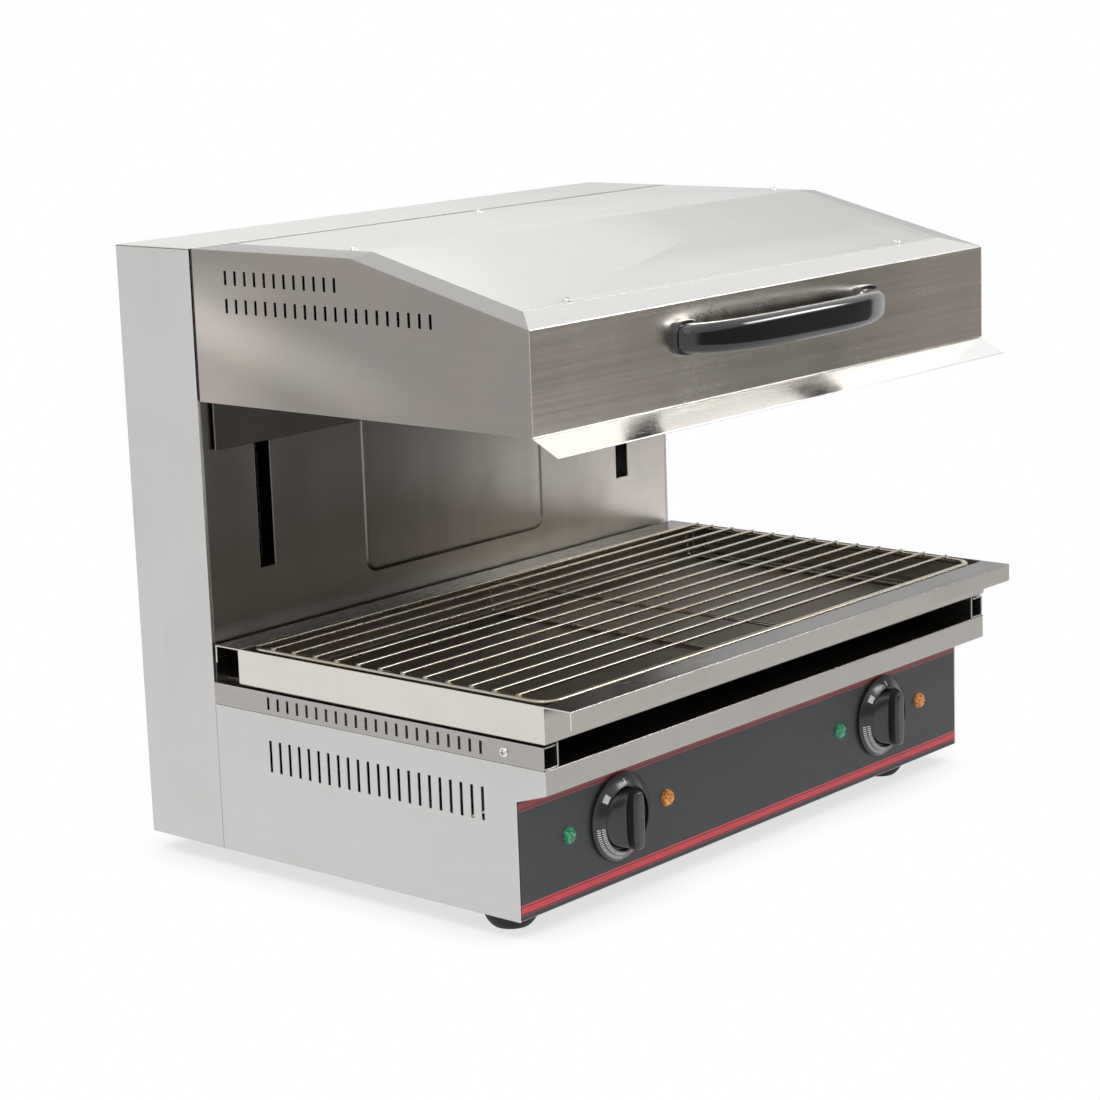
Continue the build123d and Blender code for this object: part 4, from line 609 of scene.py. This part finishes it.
class GRILL_OT_stage(bpy.types.Operator):
    """White stage, soft lamps and the camera"""

    bl_idname = "grill.stage"
    bl_label = "Stage"

    def execute(self, context):
        settings = context.scene.grill_stage
        scene = context.scene
        scene.view_settings.view_transform = "Standard"

        # World: white to the eye and in reflections, softer as light.
        world = bpy.data.worlds.new("white_room")
        scene.world = world
        world.use_nodes = True
        tree = world.node_tree
        tree.nodes.clear()
        path = tree.nodes.new("ShaderNodeLightPath")
        seen = tree.nodes.new("ShaderNodeMath")
        seen.operation = "MAXIMUM"
        tree.links.new(path.outputs["Is Camera Ray"], seen.inputs[0])
        tree.links.new(path.outputs["Is Glossy Ray"], seen.inputs[1])
        also = tree.nodes.new("ShaderNodeMath")
        also.operation = "MAXIMUM"
        tree.links.new(seen.outputs[0], also.inputs[0])
        tree.links.new(path.outputs["Is Transmission Ray"], also.inputs[1])
        strength = tree.nodes.new("ShaderNodeMapRange")
        strength.inputs["To Min"].default_value = settings.fill
        strength.inputs["To Max"].default_value = 1.0
        tree.links.new(also.outputs[0], strength.inputs["Value"])
        sky = tree.nodes.new("ShaderNodeBackground")
        sky.inputs["Color"].default_value = (1.0, 1.0, 1.0, 1.0)
        tree.links.new(strength.outputs[0], sky.inputs["Strength"])
        out = tree.nodes.new("ShaderNodeOutputWorld")
        tree.links.new(sky.outputs[0], out.inputs["Surface"])

        # Floor: a slightly domed disc, white to the eye but for the soft shadow round the feet.
        reach = np.linspace(0.0, 9.0, 24)
        rings = [(r, -0.0004 * r) for r in reach]
        points, faces = turned(rings, (0, 0, 0), (0, 0, 1), 48)
        mesh = bpy.data.meshes.new("floor")
        mesh.from_pydata(points.tolist(), [], faces.tolist())
        floor = bpy.data.objects.new("floor", mesh)
        scene.collection.objects.link(floor)
        s = Surface("floor_white")
        near = s.node("AmbientOcclusion", {"samples": 12}, {"Distance": 0.07}, "AO")
        rays = s.node("LightPath", output="Is Camera Ray")
        mirrored = Value(s, rays.socket.node.outputs["Is Glossy Ray"])
        through = Value(s, rays.socket.node.outputs["Is Transmission Ray"])
        soft = 0.72 + 0.28 * near.above(0.5, 0.4)
        white = s.node("CombineColor", {}, {0: soft, 1: soft, 2: soft})
        shown = s.node("Emission", {}, {"Color": white, "Strength": 1.0})
        lit = s.node("BsdfDiffuse", {}, {"Color": (*settings.ground, 1.0)})
        mesh.materials.append(s.close(s.node("MixShader", {}, {0: rays + mirrored + through, 1: lit, 2: shown})))

        # Flag: a curved screen on the right, which only gloss sees, dim below and with a bright window
        # above. Point (u, v) is on a cylinder about the object, u its turn from the front, v its height.
        turn, rise = np.meshgrid(np.radians(np.linspace(-50.0, 92.0, 72)), np.linspace(0.02, 2.6, 9), indexing="ij")
        screen = np.stack([1.5 * np.sin(turn), -1.5 * np.cos(turn), rise], axis=-1)
        points, faces = patch(screen)
        mesh = bpy.data.meshes.new("flag")
        mesh.from_pydata(points.tolist(), [], faces.tolist())
        flag = bpy.data.objects.new("flag", mesh)
        scene.collection.objects.link(flag)
        s = Surface("flag_grey")
        bearing = s.node("Math", {"operation": "ARCTAN2"}, {0: s.x, 1: 0.0 - s.y}) * (180.0 / math.pi)
        dim = bearing.above(-34.0, 10.0) * (1.0 - bearing.above(67.0, 2.0)) * (1.0 - s.z.above(0.68, 0.1))
        window = bearing.between(24.0, 54.0, 3.0) * s.z.between(0.8, 1.1, 0.05)
        light = 1.0 + 0.25 * s.z.above(1.2, 0.1) + (settings.window - 1.0) * window
        white = s.node("CombineColor", {}, {0: light, 1: light, 2: light})
        glow = s.node("Emission", {}, {"Color": s.blend(dim, white, tuple(settings.flag)), "Strength": 1.0})
        clear = s.node("BsdfTransparent", {}, {})
        glossy = s.node("LightPath", output="Is Glossy Ray")
        mesh.materials.append(s.close(s.node("MixShader", {}, {0: glossy, 1: clear, 2: glow})))

        # Lamps: a large soft key from the upper left front and one above.
        aims = (
            ("key", (-1.6, -1.5, 2.3), 2.7, settings.key),
            ("top", (0.1, 0.4, 2.6), 1.6, 0.3 * settings.key),
        )
        for name, place, size, power in aims:
            lamp = bpy.data.lights.new(name, "AREA")
            lamp.size = size
            lamp.energy = power
            holder = bpy.data.objects.new(name, lamp)
            holder.location = place
            holder.rotation_euler = (Vector((0, 0, 0.25)) - Vector(place)).to_track_quat("-Z", "Y").to_euler()
            scene.collection.objects.link(holder)

        # Camera: where the photograph was taken from.
        eye = Vector((-1.8568, -1.5849, 0.7424))
        yaw, pitch, roll = math.radians(48.85), math.radians(11.84), math.radians(-2.03)
        forward = Vector((math.sin(yaw) * math.cos(pitch), math.cos(yaw) * math.cos(pitch), -math.sin(pitch)))
        right = Vector((math.cos(yaw), -math.sin(yaw), 0.0))
        up = right.cross(forward)
        right, up = (
            math.cos(roll) * right + math.sin(roll) * up,
            math.cos(roll) * up - math.sin(roll) * right,
        )
        camera = bpy.data.cameras.new("camera")
        camera.sensor_width = 36.0
        camera.lens = settings.lens
        camera.clip_end = 50.0
        holder = bpy.data.objects.new("camera", camera)
        turn = Matrix((right, up, -forward)).transposed().to_4x4()
        holder.matrix_world = Matrix.Translation(eye) @ turn
        scene.collection.objects.link(holder)
        scene.camera = holder
        return {"FINISHED"}


class GRILL_OT_sheet(bpy.types.Operator):
    """Finish and edges of all sheet metal"""

    bl_idname = "grill.sheet"
    bl_label = "Sheet metal"

    def execute(self, context):
        steel = context.scene.grill_steel
        edge = steel.edge
        column, side, strip, top = tuple(steel.column), tuple(steel.side), tuple(steel.strip), tuple(steel.top)
        front, tray, well = tuple(steel.front), tuple(steel.tray), tuple(steel.well)
        rail_foot = float(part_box("rail_left")[0][2])
        cap_foot = float(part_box("column_cap")[0][2])
        wall = float(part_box("hood_side_left")[0][0])
        front_head = float(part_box("hood_front")[0][2]) + 79.3 * MM

        # above_cap, at_rail_foot, at_column and behind_hood place thin painted shadow lines where sheets meet.
        def above_cap(s):
            return s.z.between(cap_foot + 0.1 * MM, cap_foot + 0.6 * MM, 0.0002)

        def at_rail_foot(s):
            return s.z.between(rail_foot - 0.35 * MM, rail_foot + 0.35 * MM, 0.0002)

        # Painted light: the hood side's flange strips get their own lighter tone for their slope.
        def off_wall(s):
            return 1.0 - abs(s.x).above(abs(wall) - 0.7 * MM, 0.0003)

        # Painted light: the hood front's top strip gets the top's tone, as a face lit from above.
        def above_front(s):
            return s.z.above(front_head, 0.0003)

        # The tray's well is painted darker: partly cooking stain, partly painted shade under the hood.
        def in_well(s):
            inside = 1.0 - abs(s.x).above(0.2972, 0.0004)
            low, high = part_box("tray")
            return inside * s.y.between(-0.2095, float(high[1]) - 4 * MM, 0.0006) * (
                1.0 - s.z.above(float(high[2]) - 1.6 * MM, 0.0005))

        def at_column(s):
            return s.y.above(float(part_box("base_side_left")[1][1]) - 0.5 * MM, 0.0002)

        def behind_hood(s):
            return s.y.above(float(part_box("hood_side_left")[1][1]) - 1.7 * MM, 0.0003)

        def hood_light(s):
            """Painted light: a lighter band that slopes down from the hood's back edge and fades towards the front,
            with a lighter patch at the back.
            """
            back = 0.1445 - s.y
            band = (s.z - 0.456 + 0.22 * back).between(-0.018, 0.018, 0.016)
            fade = 1.0 - back.above(0.16, 0.14)
            corner = (1.0 - back.above(0.06, 0.06)) * (1.0 - s.z.above(0.495, 0.02))
            return 0.85 + 0.46 * band * fade + 0.36 * corner

        # Painted shade: the top grows darker towards the right.
        def shade_to_right(s):
            return 1.0 - 0.19 * s.x.above(0.1, 0.2)

        # Painted light and shade: the hood front is darker in the middle and lighter at both sides, most on the right.
        def front_light(s):
            return 1.14 - 0.24 * s.x.between(-0.14, 0.14, 0.09) + 0.06 * s.x.above(0.17, 0.08)

        # Painted light and shade: faces that look up are painted far darker than those that look along X or Y.
        def shade_by_face(s):
            return 0.2 + 0.95 * s.facing("X") + 0.52 * s.facing("Y")

        # Painted shade: all of the back cover but its outer face is painted near black.
        def inside_cover(s):
            return 1.0 - s.y.above(float(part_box("column_back_cover")[1][1]) - 0.6 * MM, 0.0002)

        def panel_shadow(s):
            return 0.8 * s.x.between(0.1118, 0.1162, 0.0009) * s.z.between(0.224, 0.45, 0.004)

        dress(("column_side_left", "column_side_right"),
              brushed("column_steel", column, "Z", 0.34, streak=0.08, seams=(above_cap,)), edge)
        dress(("base_side_left", "base_side_right"),
              brushed("base_steel", column, "Y", 0.34, streak=0.08, seams=(at_rail_foot, at_column)), edge)
        dress(("rail_left", "rail_right"), brushed("rail_steel", tuple(steel.rail), "Y", 0.32), edge)
        dress(("hood_side_left", "hood_side_right"),
              brushed("hood_side_steel", side, "Y", 0.3, streak=0.1, cloud=0.1, stain=(1.25, 1.08, 0.98), stained=0.5,
                      strip=(off_wall, strip), seams=(behind_hood,), painted_light=hood_light), edge)
        dress(("hood_cover", "column_cap"),
              brushed("top_steel", top, "X", 0.34, streak=0.07, cloud=0.03, painted_light=shade_to_right), edge)
        dress(("hood_front",), brushed("front_steel", front, "X", 0.24, streak=0.1, cloud=0.1,
                                       strip=(above_front, top), painted_light=front_light), edge)
        dress(("front_slat",), brushed("slat_steel", tuple(steel.slat), "X", 0.14, cloud=0.02, streak=0.03,
                                       stained=0.0), 0.0002)
        low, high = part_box("column_front_plate")
        for name, shade, far, lift, groove in (
            ("column_front_plate", tuple(steel.plate), 4.9, 1.5, panel_shadow),
            ("hood_back", tuple(steel.rear), 0.9, 0.0, None),
        ):
            dress((name,), shaded_plate(name + "_steel", shade, tuple(far * c for c in shade),
                                        0.45 * float(low[0]), float(high[0]), lift, 0.3, groove), edge)
        self.pressed_panel(solids["column_front_plate"].data.materials[0])
        dress(("base_deck",), brushed("deck_steel", tuple(steel.band), "X", 0.28, streak=0.1), edge)
        dress(("column_back_cover",), brushed("cover_steel", column, "X", 0.34,
                                              inner=(inside_cover, (0.03, 0.03, 0.03))), edge)
        dress(("tray",), brushed("tray_steel", tray, "XY", 0.26, streak=0.1, stained=0.1, inner=(in_well, well),
                                 painted_light=shade_by_face), edge)
        dress(("base_floor", "control_plate", "reflector"),
              brushed("inner_steel", tuple(0.7 * c for c in column), "X", 0.35, stained=0.3), edge)
        return {"FINISHED"}

    def pressed_panel(self, material):
        """Panel pressed into the column's front plate: rounded rings that rise by half a cosine, then run flat."""
        low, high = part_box("column_front_plate")
        foot, head, half = 216.5 * MM, 455.0 * MM, 114.0 * MM
        swell, lift, corner = 5.0 * MM, 0.9 * MM, 10.0 * MM
        ease = np.linspace(0.0, 1.0, 9)
        inset = np.concatenate([-swell / 2 + swell * ease, [20 * MM, 60 * MM, 110 * MM]])
        rise = np.concatenate([lift * (1 - np.cos(math.pi * ease)) / 2, [lift] * 3])
        turn = np.linspace(0.0, math.tau, 128, endpoint=False)
        tall = (head - foot) / 2
        radius = np.clip(corner - inset, 0.5 * MM, None)[:, None]
        sign_x, sign_z = np.sign(np.cos(turn)), np.sign(np.sin(turn))
        x = sign_x * (half - inset[:, None] - radius) + radius * np.cos(turn)
        z = sign_z * np.clip(tall - inset[:, None] - radius, 0, None) + radius * np.sin(turn)
        y = np.broadcast_to(-rise[:, None], x.shape)
        points = np.stack([x, y + float(low[1]) - 0.05 * MM, z + (foot + head) / 2], axis=-1)
        piece("pressed_panel", [patch(points, wrap_columns=True)], material, "frame",
              crease=math.radians(60))


class GRILL_OT_works(bpy.types.Operator):
    """Finish of the lift, the heating and the small fittings"""

    bl_idname = "grill.works"
    bl_label = "Works"

    def execute(self, context):
        zinc = plated("zinc", (0.3, 0.305, 0.31))
        dress(("guide_channels", "crossbars", "reel_brackets", "carriage", "arm_left", "arm_right", "element_bars",
               "lamp_nuts"), zinc, 0.0002)
        pin = plated("pin_steel", (0.66, 0.66, 0.66), 0.2)
        dress(("roller_pins", "reel_axles", "shaft_left", "shaft_right"), pin)
        spring = brushed("spring_steel", (0.46, 0.47, 0.5), "Z", 0.24)
        dress(("reel_left", "reel_right", "strip_left", "strip_right"), spring)
        rollers = [name for name in solids if name.startswith("roller_") and name != "roller_pins"]
        dress(rollers, moulded("nylon_white", (0.72, 0.71, 0.67), 0.45))
        dress(("terminal_block",), moulded("terminal_white", (0.7, 0.68, 0.62), 0.5), 0.0003)
        dress(("element_left", "element_right"), heater("sheath", (0.2, 0.19, 0.18)))
        dress(("regulators",), moulded("regulator_brown", (0.05, 0.035, 0.028), 0.5), 0.0004)
        dress(("cable_gland",), moulded("gland_black", (0.025, 0.025, 0.027), 0.42), 0.0003)
        dress(("feet",), rubber("foot_rubber", (0.018, 0.018, 0.018)))
        dress(("handle_screws", "arm_screws"), plated("screw_zinc", (0.68, 0.68, 0.66), 0.22))
        return {"FINISHED"}


class GRILL_OT_panel(bpy.types.Operator):
    """Printed film, knobs with dial marks and signal lamps"""

    bl_idname = "grill.panel"
    bl_label = "Control panel"

    def execute(self, context):
        trim = context.scene.grill_trim
        low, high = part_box("control_overlay")
        film = printed_film("control_film", tuple(trim.film), tuple(trim.line), float(low[2]), float(high[2]))
        dress(("control_overlay",), film, 0.0001)
        for name in ("knob_left", "knob_right"):
            low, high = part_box(name)
            skirt = float(high[0] - low[0]) / 2
            middle = centre_of(name)
            middle[1] = float(high[1])
            black = dial(name + "_black", tuple(trim.knob), tuple(trim.mark), middle, skirt, 25 * MM)
            piece(name + "_turned", self.knob(middle, skirt, trim.bar), black, name, (name,))
        for name, colour in (("lamps_green", trim.green), ("lamps_amber", trim.amber)):
            low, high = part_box(name)
            glass = lens(name + "_lens", tuple(colour), tuple(0.6 * c for c in colour))
            radius = float(high[2] - low[2]) / 2
            places = (float(low[0]) + radius, float(high[0]) - radius)
            shapes = [self.dome(x, low, high, trim.facets) for x in places]
            piece(name + "_dome", shapes, glass, "frame", (name,), math.radians(12))
        return {"FINISHED"}

    def knob(self, middle, skirt, reach):
        """Knob: a turned cone with a groove and a sunk disc, and a rounded bar across it that the hand turns."""
        cone = 26.6
        profile = [(0.0, 0.2), (34.3, 0.2), (35.2, 0.5), (35.5, 1.3), (35.5, 2.6), (35.0, 3.2), (cone + 0.6, 8.4),
                   (cone, 8.7), (cone - 0.5, 8.4), (cone - 0.7, 5.0), (24.5, 5.0)]
        # Domed disc: from a circle in the groove it rises to a narrow lip on each side of the bar.
        disc = [(24.5, 24.5, 2.0, 5.0), (24.4, 24.4, 2.0, 6.8), (24.0, 24.1, 2.0, 7.4), (20.5, 23.9, 2.05, 8.6),
                (15.0, 23.8, 2.2, 10.8), (10.0, 23.7, 2.6, 13.0), (8.6, 23.6, 2.8, 13.8), (8.1, 23.5, 3.0, 14.1),
                (7.6, 23.3, 3.2, 13.9), (7.2, 23.0, 3.4, 13.0), (4.0, 20.0, 3.4, 12.6), (0.0, 0.0, 3.4, 12.6)]
        turn = np.linspace(0.0, math.pi / 2, 9)
        round_over, top = 3.2, reach / MM
        rings = [(0.0, 0.0, 3.4, 7.0), (6.9, 24.2, 3.4, 7.0), (6.4, 23.8, 3.6, top - round_over)]
        rings += [(6.4 - round_over * (1 - math.cos(a)), 23.8 - round_over * (1 - math.cos(a)), 3.6,
                   top - round_over * (1 - math.sin(a))) for a in turn]
        rings += [(0.0, 0.0, 3.6, top)]
        scale = np.array([MM, MM, 1.0, MM])
        face = (0, -1, 0)
        return [
            turned(np.array(profile) * MM * [skirt / (35.5 * MM), 1.0], middle, face, 128),
            slab(middle, face, (1, 0, 0), np.array(disc) * scale, 96),
            slab(middle, face, (1, 0, 0), np.array(rings) * scale, 96),
        ]

    def dome(self, x, low, high, facets):
        """Lens: a turned profile, flat in front, whose shoulder is cut into facets by a wavy radius."""
        radius = float(high[2] - low[2]) / 2
        z = float(high[2] + low[2]) / 2
        front = float(low[1])
        reach = 3.5 * MM
        shoulder = np.linspace(0.0, math.pi / 2, 9)
        bend_r, bend_h = rounded(shoulder, 2.2)
        profile = [(0.0, reach)]
        profile += [(radius * 0.45 * k / 3, reach - 0.05 * MM * k) for k in range(1, 4)]
        crown = radius * 0.94
        profile += [(crown * (0.52 + 0.48 * c), (reach - 0.2 * MM) * h + 0.2 * MM) for c, h in zip(bend_r[::-1], bend_h[::-1])]
        profile += [(radius, 0.2 * MM), (radius, -0.3 * MM), (crown, -3.0 * MM), (0.0, -3.0 * MM)]

        def shape(across, turn):
            wave = np.abs(((turn * facets / math.tau) % 1.0) - 0.5) * 2.0
            return 1.0 - 0.07 * wave * np.clip(across / crown, 0, 1)

        return turned(profile, (x, front + reach, z), (0, -1, 0), 4 * facets, shape)


class GRILL_OT_handle(bpy.types.Operator):
    """Moulded handle on the hood's front"""

    bl_idname = "grill.handle"
    bl_label = "Handle"

    def execute(self, context):
        trim = context.scene.grill_trim
        low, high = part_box("handle")
        half = float(high[0] - low[0]) / 2
        reach = float(high[1] - low[1])
        height = float(high[2] - low[2]) / 2
        wall = float(high[1])
        z = float(low[2]) + height - trim.drop
        # The outer line is a superellipse arch and the inner one lies a band's width within it;
        # each ring of the bow spans from one to the other.
        along = np.linspace(0.0, math.pi, 161)
        ends = 1.0 - np.abs(np.cos(along)) ** 2.5
        outer_x, outer_d = rounded_pair(along, 3.0, 2.1)
        inner_x, inner_d = rounded_pair(along, 3.2, 2.3)
        level = np.full_like(along, z)
        outer = np.stack([(half - 1.5 * MM) * outer_x, wall - reach * outer_d, level], axis=1)
        inner = np.stack([(half - trim.foot) * inner_x, wall - (reach - trim.band) * inner_d, level], axis=1)
        centre, spoke = (outer + inner) / 2, (outer - inner) / 2
        out, up = rounded(np.linspace(0.0, math.tau, 48, endpoint=False), trim.squareness)
        tall = height * (0.87 + 0.13 * ends)
        points = (
            centre[:, None, :]
            + out[None, :, None] * spoke[:, None, :]
            + (up[None, :] * tall[:, None])[..., None] * np.array([0.0, 0.0, 1.0])
        )
        # Collars: the handle's feet swell a little where they meet the wall.
        foot = trim.foot / 2
        swell = [(2.0, 0.0), (0.2, 0.0), (0.0, 0.6), (0.0, 4.2), (0.5, 5.0), (2.4, 5.3)]
        rings = [(foot - inset * MM, 1.07 * height - inset * MM, 2.8, rise * MM) for inset, rise in swell]
        collars = [slab((side * (half - foot), wall, z), (0, -1, 0), (1, 0, 0), rings) for side in (-1, 1)]
        gloss = moulded("handle_gloss", tuple(trim.handle), 0.09, grain=0.000003, dusty=0.004, coat=0.5)
        piece("handle_grip", [patch(points, wrap_columns=True), *collars], gloss, "hood", ("handle",))
        return {"FINISHED"}


def rounded_pair(angle, power_x, power_y):
    """Superellipse with a power of its own for each axis."""
    cosine, sine = np.cos(angle), np.sin(angle)
    return np.sign(cosine) * np.abs(cosine) ** (2.0 / power_x), np.abs(sine) ** (2.0 / power_y)


class GRILL_OT_grid(bpy.types.Operator):
    """Bright finish and weld beads of the wire grid"""

    bl_idname = "grill.grid"
    bl_label = "Wire grid"

    def execute(self, context):
        trim = context.scene.grill_trim
        wire = bright_wire("grid_wire", (0.46, 0.43, 0.375))
        dress(("wire_grid", "grid_legs"), wire)
        low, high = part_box("wire_grid")
        rim = float(high[0]) - 2.5 * MM
        back = float(high[1]) - 29.1 * MM
        places = [(side * rim, back - 24 * MM * k, float(high[2]) - 2.5 * MM) for side in (-1, 1) for k in range(12)]
        piece("grid_welds", [self.bead(place, trim.bead) for place in places], wire, "grid")
        return {"FINISHED"}

    def bead(self, place, half):
        """Weld bead: an ellipsoid, longer across the wires than it is high, pinched by a slow wave round it."""
        tilt = np.linspace(-math.pi / 2, math.pi / 2, 9)
        profile = [(half * math.cos(a), 0.75 * half * math.sin(a)) for a in tilt]
        return turned(profile, place, (0, 0, 1), 16, lambda across, turn: 1.0 + 0.22 * np.cos(2 * turn) + 0 * across)


class GRILL_OT_screws(bpy.types.Operator):
    """Cross-recessed screw heads"""

    bl_idname = "grill.screws"
    bl_label = "Screws"

    def execute(self, context):
        bright = plated("screw_bright", (0.74, 0.74, 0.73), 0.2, recess=0.0012)
        for name, body in (("rail_screws", "frame"), ("cover_screws", "hood"), ("back_screws", "frame"),
                           ("foot_screws", "frame")):
            shapes = []
            for place, axis, shank, length in self.find(name):
                shapes.append(self.head(place, axis, shank))
                shapes.append(self.shank(place, axis, shank, length))
            piece(name + "_cross", shapes, bright, body, (name,), math.radians(35))
        return {"FINISHED"}

    def find(self, name):
        """Each screw in a solid: its head's seat, the way its head looks, its shank's radius and length."""
        mesh = solids[name].data
        work = bmesh.new()
        work.from_mesh(mesh)
        bmesh.ops.remove_doubles(work, verts=work.verts, dist=1e-6)
        left = set(work.verts)
        found = []
        while left:
            stack = [left.pop()]
            group = [stack[0]]
            while stack:
                vertex = stack.pop()
                for edge in vertex.link_edges:
                    other = edge.other_vert(vertex)
                    if other in left:
                        left.remove(other)
                        group.append(other)
                        stack.append(other)
            points = np.array([v.co for v in group])
            middle = points.mean(axis=0)
            spread, axes = np.linalg.eigh(np.cov((points - middle).T))
            gaps = [abs(spread[1] - spread[2]), abs(spread[0] - spread[1])]
            axis = axes[:, 0] if gaps[0] < gaps[1] else axes[:, 2]
            along = (points - middle) @ axis
            across = np.linalg.norm((points - middle) - along[:, None] * axis, axis=1)
            head_radius = across.max()
            wide = along[across > 0.9 * head_radius]
            if wide.mean() < (along.max() + along.min()) / 2:
                axis, along, wide = -axis, -along, -wide
            shank = np.median(across[across < 0.7 * head_radius])
            seat = middle + axis * wide.min()
            seat = seat + 0.0 * axis
            found.append((seat, axis, float(shank), float(wide.min() - along.min())))
        work.free()
        return found

    def head(self, seat, axis, shank):
        """Pan head: a rounded profile turned about the axis, sunk where a cross's arms pass."""
        radius, height = 2.1 * shank, 1.1 * shank
        axis = np.array(axis, float)
        side = np.cross(axis, [0.0, 0.0, 1.0] if abs(axis[2]) < 0.9 else [1.0, 0.0, 0.0])
        side /= np.linalg.norm(side)
        other = np.cross(axis, side)
        ring = np.linspace(0.0, 1.0, 22)
        turn = np.linspace(0.0, math.tau, 72, endpoint=False)
        r, t = np.meshgrid(ring, turn, indexing="ij")
        dome = height * (1.0 - np.clip(r, 0, 1) ** 4.0) ** 0.5
        u, v = r * np.cos(t), r * np.sin(t)
        arm = np.minimum(np.abs(u), np.abs(v))
        reach = np.maximum(np.abs(u), np.abs(v))
        sunk = np.clip((0.16 - arm) / 0.05, 0, 1) * np.clip((0.58 - reach) / 0.08, 0, 1)
        lift = dome - 0.75 * height * sunk * (1.0 - 0.5 * reach)
        points = seat + radius * (u[..., None] * side + v[..., None] * other) + lift[..., None] * axis
        return patch(points, wrap_columns=True)

    def shank(self, seat, axis, shank, length):
        """Shank: a plain round bar with a small end cone, below the head."""
        profile = [(0.0, -length), (0.6 * shank, -length), (shank, -length + 0.5 * shank), (shank, 0.0), (2.1 * shank, 0.0)]
        return turned(profile, seat, axis, 24)


class GRILL_PT_finish(bpy.types.Panel):
    """Settings and steps of the grill's finish"""

    bl_idname = "GRILL_PT_finish"
    bl_label = "Grill finish"
    bl_space_type = "VIEW_3D"
    bl_region_type = "UI"
    bl_category = "Grill"

    def draw(self, context):
        layout = self.layout
        for group in (context.scene.grill_stage, context.scene.grill_steel, context.scene.grill_trim):
            box = layout.box()
            for name in group.bl_rna.properties.keys():
                if name not in ("rna_type", "name"):
                    box.prop(group, name)
        for step in STEPS:
            layout.operator(step)


STEPS = ("grill.stage", "grill.sheet", "grill.works", "grill.panel", "grill.handle", "grill.grid", "grill.screws")
GROUPS = {"grill_stage": GrillStage, "grill_steel": GrillSteel, "grill_trim": GrillTrim}
CLASSES = (
    *GROUPS.values(), GRILL_OT_stage, GRILL_OT_sheet, GRILL_OT_works, GRILL_OT_panel, GRILL_OT_handle,
    GRILL_OT_grid, GRILL_OT_screws, GRILL_PT_finish,
)


def register():
    for cls in CLASSES:
        bpy.utils.register_class(cls)
    for name, group in GROUPS.items():
        setattr(bpy.types.Scene, name, PointerProperty(type=group))


def unregister():
    for name in GROUPS:
        delattr(bpy.types.Scene, name)
    for cls in reversed(CLASSES):
        bpy.utils.unregister_class(cls)


def main():
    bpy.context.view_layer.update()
    register()
    for step in STEPS:
        group, name = step.split(".")
        getattr(getattr(bpy.ops, group), name)()


if __name__ == "__main__":
    main()
